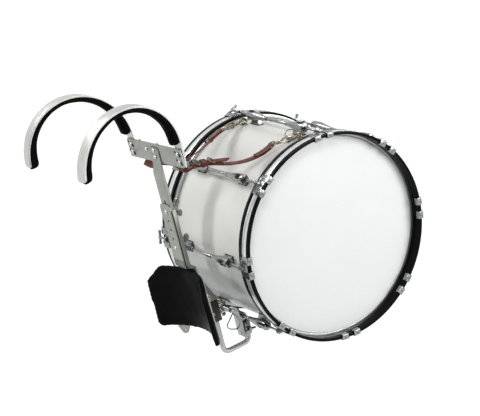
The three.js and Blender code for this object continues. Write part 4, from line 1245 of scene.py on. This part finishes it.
def strap_eye():
    """A wire staple on a foot, X outward and Y along the drum, that a hook closes round."""
    foot = put(plate(rounded_box(0.012, 0.026, 0.005), 0.0016, soft=0.0004), turn(90, "Y"))
    half = [(0, 0.0065, 0), (0.0075, 0.0065, 0), (0.0102, 0.003, 0)]
    staple = wire([(x, -y, z) for x, y, z in half] + half[::-1], 0.0014)
    screws = [put(button_bolt(0.0024, 0.0012), at(0.0014, y)) for y in (-0.0098, 0.0098)]
    return merged(foot, staple, *screws)


def add_strap():
    # The fourth finish paints the dark discs that stand for the shade in the strap's punched holes.
    leather = piece("sling_leather", strap_leather(), DRUM,
                    ["Strap Leather", "Strap Thread", "Dark Steel", "Gasket Rubber And Hole Shade"], None,
                    ["sling_strap"], 40)
    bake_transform(leather)
    for end, side, points, share, first, middle in (
            ("front", -1, FRONT_RUN, 0.095, (-0.1385, -0.1275, 0.2395), (-0.099, -0.1325, 0.2485)),
            ("rear", 1, REAR_RUN, 0.258, (-0.1475, 0.1035, 0.2425), (-0.104, 0.122, 0.2495))):
        eye = put(strap_eye(), turn(EYE_ANGLE, "Y") @ at(SHELL_RADIUS, side * EYE_SPREAD))
        piece(f"strap_eye_{end}", eye, DRUM, "Bolt Steel", "drum")
        hold = turn(EYE_ANGLE, "Y") @ Vector((SHELL_RADIUS + 0.0085, side * EYE_SPREAD, 0))
        loop = wire([(0.008, 0.0115, 0), (-0.004, 0.0115, 0), (-0.0075, 0.006, 0), (-0.0075, -0.006, 0),
                     (-0.004, -0.0115, 0), (0.008, -0.0115, 0)], 0.0016, True)
        hooks = merged(put(loop, on_strap(points, share, 0.0024)), hooked(first, middle, 0.85),
                       hooked(middle, hold, 1))
        piece(f"snap_hooks_{end}", hooks, DRUM, "Brass Tinted Plate", "drum")
    ring = put(ring_of(0.0148, 0.0011, 48), at(-0.096, -0.137, 0.2585) @ turn(-38, "Z") @ turn(-12, "X"))
    piece("split_ring", ring, DRUM, "Dark Steel", "drum")


# Stage
def add_stage():
    scene = bpy.context.scene
    scene.view_settings.view_transform = "Standard"
    pale = studio_material("Studio Floor", (0.23, 0.26, 0.26), 0.9)
    inputs = pale.node_tree.nodes["Principled BSDF"].inputs
    connect(pale.node_tree, seen_directly(pale.node_tree), inputs["Emission Strength"])
    inputs["Emission Color"].default_value = (0.93, 0.93, 0.93, 1)
    studio_sheet("studio_floor", at(z=-1.45), 40, pale)
    dark = studio_material("Studio Flag", (0.02, 0.02, 0.02), 1.0)
    for name, place, target, width, height in (
            ("flag_camera", (-3.4, -6.2, 1.6), (0.5, 0, -0.3), 4.6, 3.4),
            ("flag_low", (-0.6, -2.3, -1.42), (0.3, 0, 0.4), 3.6, 2.6)):
        aim = Matrix.Translation(place) @ facing_target(place, target).to_matrix().to_4x4()
        flag = studio_sheet(name, aim @ Matrix.Diagonal((width, height, 1, 1)), 0.5, dark)
        # A flag shows in reflections alone
        flag.visible_camera = flag.visible_diffuse = flag.visible_shadow = flag.visible_transmission = False
    scene.world = studio_world()
    for name, place, target, size, power in (
            ("key", (-2.4, -3.2, 3.0), (0.4, 0, -0.25), 1.8, 88),
            ("side", (-3.4, -0.15, 0.4), (0.2, 0, -0.25), 0.8, 46),
            ("fill", (2.6, -3.4, 0.8), (0.5, 0, -0.3), 2.2, 108),
            ("back", (-1.6, 2.6, 2.6), (0.4, 0, -0.2), 1.6, 60)):
        lamp = bpy.data.lights.new(name, "AREA")
        lamp.shape = "DISK"
        lamp.size = size
        lamp.energy = power
        holder = linked(name, lamp)
        holder.location = place
        holder.rotation_euler = facing_target(place, target).to_euler()
    add_camera()


def studio_material(name, colour, roughness):
    made = bpy.data.materials.new(name)
    made.use_nodes = True
    inputs = made.node_tree.nodes["Principled BSDF"].inputs
    inputs["Base Color"].default_value = shade(colour)
    inputs["Roughness"].default_value = roughness
    return made


def studio_sheet(name, place, size, material):
    """A flat sheet that isn't part of the object."""
    bm = bmesh.new()
    bmesh.ops.create_grid(bm, x_segments=1, y_segments=1, size=size)
    made = linked(name, mesh_of(put(bm, place), name))
    made.data.materials.append(material)
    return made


def studio_world():
    """Soft light all round, and plain white wherever the background itself is seen."""
    world = bpy.data.worlds.new("Studio")
    world.use_nodes = True
    tree = world.node_tree
    light = tree.nodes["Background"]
    light.inputs["Color"].default_value = (0.97, 0.98, 1.0, 1)
    light.inputs["Strength"].default_value = 0.4
    white = add_node(tree, "ShaderNodeBackground", {"Color": (1, 1, 1, 1), "Strength": 1.0})
    both = add_node(tree, "ShaderNodeMixShader",
                    {0: seen_directly(tree), 1: light.outputs[0], 2: white.outputs[0]})
    connect(tree, both.outputs[0], tree.nodes["World Output"].inputs["Surface"])
    return world


def seen_directly(tree):
    """1 where the camera sees something itself, in a mirror or through glass."""
    path = tree.nodes.new("ShaderNodeLightPath").outputs
    seen = math_node(tree, "MAXIMUM", path["Is Camera Ray"], path["Is Glossy Ray"])
    return math_node(tree, "MAXIMUM", seen, path["Is Transmission Ray"])


def facing_target(place, target):
    return (Vector(target) - Vector(place)).to_track_quat("-Z", "Y")


def add_camera():
    camera = bpy.data.cameras.new("camera")
    camera.lens = 127.5
    camera.sensor_width = 36
    camera.clip_end = 200
    holder = linked("camera", camera)
    holder.location = DRUM_CENTRE + Vector((-2.437, -3.583, 0.961))
    downward, aside = 12.03, -32.45
    holder.rotation_euler = (math.radians(90 - downward), 0, math.radians(aside))
    bpy.context.scene.camera = holder


class DRUM_OT_make_finishes(bpy.types.Operator):
    """Makes the material of every finish"""
    bl_idname = "drum.make_finishes"
    bl_label = "Make Finishes"

    def execute(self, context):
        make_finishes()
        return {"FINISHED"}


class DRUM_OT_add_stage(bpy.types.Operator):
    """Adds the floor, the flags, the lamps and the camera"""
    bl_idname = "drum.add_stage"
    bl_label = "Add Stage"

    def execute(self, context):
        add_stage()
        return {"FINISHED"}


class DRUM_OT_add_shell(bpy.types.Operator):
    """Adds the covered shell"""
    bl_idname = "drum.add_shell"
    bl_label = "Add Shell"

    def execute(self, context):
        add_shell()
        return {"FINISHED"}


class DRUM_OT_add_heads(bpy.types.Operator):
    """Adds both heads with their flesh hoops"""
    bl_idname = "drum.add_heads"
    bl_label = "Add Heads"

    def execute(self, context):
        add_heads()
        return {"FINISHED"}


class DRUM_OT_add_hoops(bpy.types.Operator):
    """Adds both counter hoops with their inlays"""
    bl_idname = "drum.add_hoops"
    bl_label = "Add Hoops"

    def execute(self, context):
        add_hoops()
        return {"FINISHED"}


class DRUM_OT_add_lugs(bpy.types.Operator):
    """Adds the tube lugs"""
    bl_idname = "drum.add_lugs"
    bl_label = "Add Lugs"

    def execute(self, context):
        add_lugs()
        return {"FINISHED"}


class DRUM_OT_add_claws(bpy.types.Operator):
    """Adds the claws on both hoops"""
    bl_idname = "drum.add_claws"
    bl_label = "Add Claws"

    def execute(self, context):
        add_claws()
        return {"FINISHED"}


class DRUM_OT_add_rods(bpy.types.Operator):
    """Adds the tension rods"""
    bl_idname = "drum.add_rods"
    bl_label = "Add Rods"

    def execute(self, context):
        add_rods()
        return {"FINISHED"}


class DRUM_OT_add_yoke(bpy.types.Operator):
    """Adds the cross plate and the shoulder arches"""
    bl_idname = "drum.add_yoke"
    bl_label = "Add Yoke"

    def execute(self, context):
        add_cross_plate()
        add_arches()
        return {"FINISHED"}


class DRUM_OT_add_shoulder_pads(bpy.types.Operator):
    """Adds the pads that line the arches"""
    bl_idname = "drum.add_shoulder_pads"
    bl_label = "Add Shoulder Pads"

    def execute(self, context):
        add_shoulder_pads()
        return {"FINISHED"}


class DRUM_OT_add_spine(bpy.types.Operator):
    """Adds both bars of the spine and their wing nuts"""
    bl_idname = "drum.add_spine"
    bl_label = "Add Spine"

    def execute(self, context):
        add_spine()
        add_lower_bar()
        add_wing_nuts()
        return {"FINISHED"}


class DRUM_OT_add_belly(bpy.types.Operator):
    """Adds the belly plate and its pad"""
    bl_idname = "drum.add_belly"
    bl_label = "Add Belly Pad"

    def execute(self, context):
        add_belly_plate()
        add_belly_pad()
        return {"FINISHED"}


class DRUM_OT_add_tube(bpy.types.Operator):
    """Adds the lower tube, its clamp and its bracket"""
    bl_idname = "drum.add_tube"
    bl_label = "Add Lower Tube"

    def execute(self, context):
        add_lower_tube()
        add_bracket()
        return {"FINISHED"}


class DRUM_OT_add_strap(bpy.types.Operator):
    """Adds the sling strap and its hooks"""
    bl_idname = "drum.add_strap"
    bl_label = "Add Strap"

    def execute(self, context):
        add_strap()
        return {"FINISHED"}


OPERATORS = [
    DRUM_OT_make_finishes, DRUM_OT_add_stage, DRUM_OT_add_shell, DRUM_OT_add_heads, DRUM_OT_add_hoops,
    DRUM_OT_add_lugs, DRUM_OT_add_claws, DRUM_OT_add_rods, DRUM_OT_add_yoke, DRUM_OT_add_shoulder_pads,
    DRUM_OT_add_spine, DRUM_OT_add_belly, DRUM_OT_add_tube, DRUM_OT_add_strap]


class DRUM_PT_pieces(bpy.types.Panel):
    """Lists the groups of pieces and their settings"""
    bl_label = "Marching Drum"
    bl_space_type = "VIEW_3D"
    bl_region_type = "UI"
    bl_category = "Marching Drum"

    def draw(self, context):
        for made in OPERATORS:
            self.layout.operator(made.bl_idname)
        for group in ("drum_sizes", "carrier_sizes", "drum_colours"):
            settings = getattr(context.scene, group)
            for key in settings.__annotations__:
                self.layout.prop(settings, key)


CLASSES = [DrumSizes, CarrierSizes, DrumColours, *OPERATORS, DRUM_PT_pieces]


def register():
    for made in CLASSES:
        bpy.utils.register_class(made)
    bpy.types.Scene.drum_sizes = bpy.props.PointerProperty(type=DrumSizes)
    bpy.types.Scene.carrier_sizes = bpy.props.PointerProperty(type=CarrierSizes)
    bpy.types.Scene.drum_colours = bpy.props.PointerProperty(type=DrumColours)


def unregister():
    for group in ("drum_colours", "carrier_sizes", "drum_sizes"):
        delattr(bpy.types.Scene, group)
    for made in reversed(CLASSES):
        bpy.utils.unregister_class(made)


def main():
    register()
    for made in OPERATORS:
        space, name = made.bl_idname.split(".")
        getattr(getattr(bpy.ops, space), name)()
    bpy.context.view_layer.update()


if __name__ == "__main__":
    main()
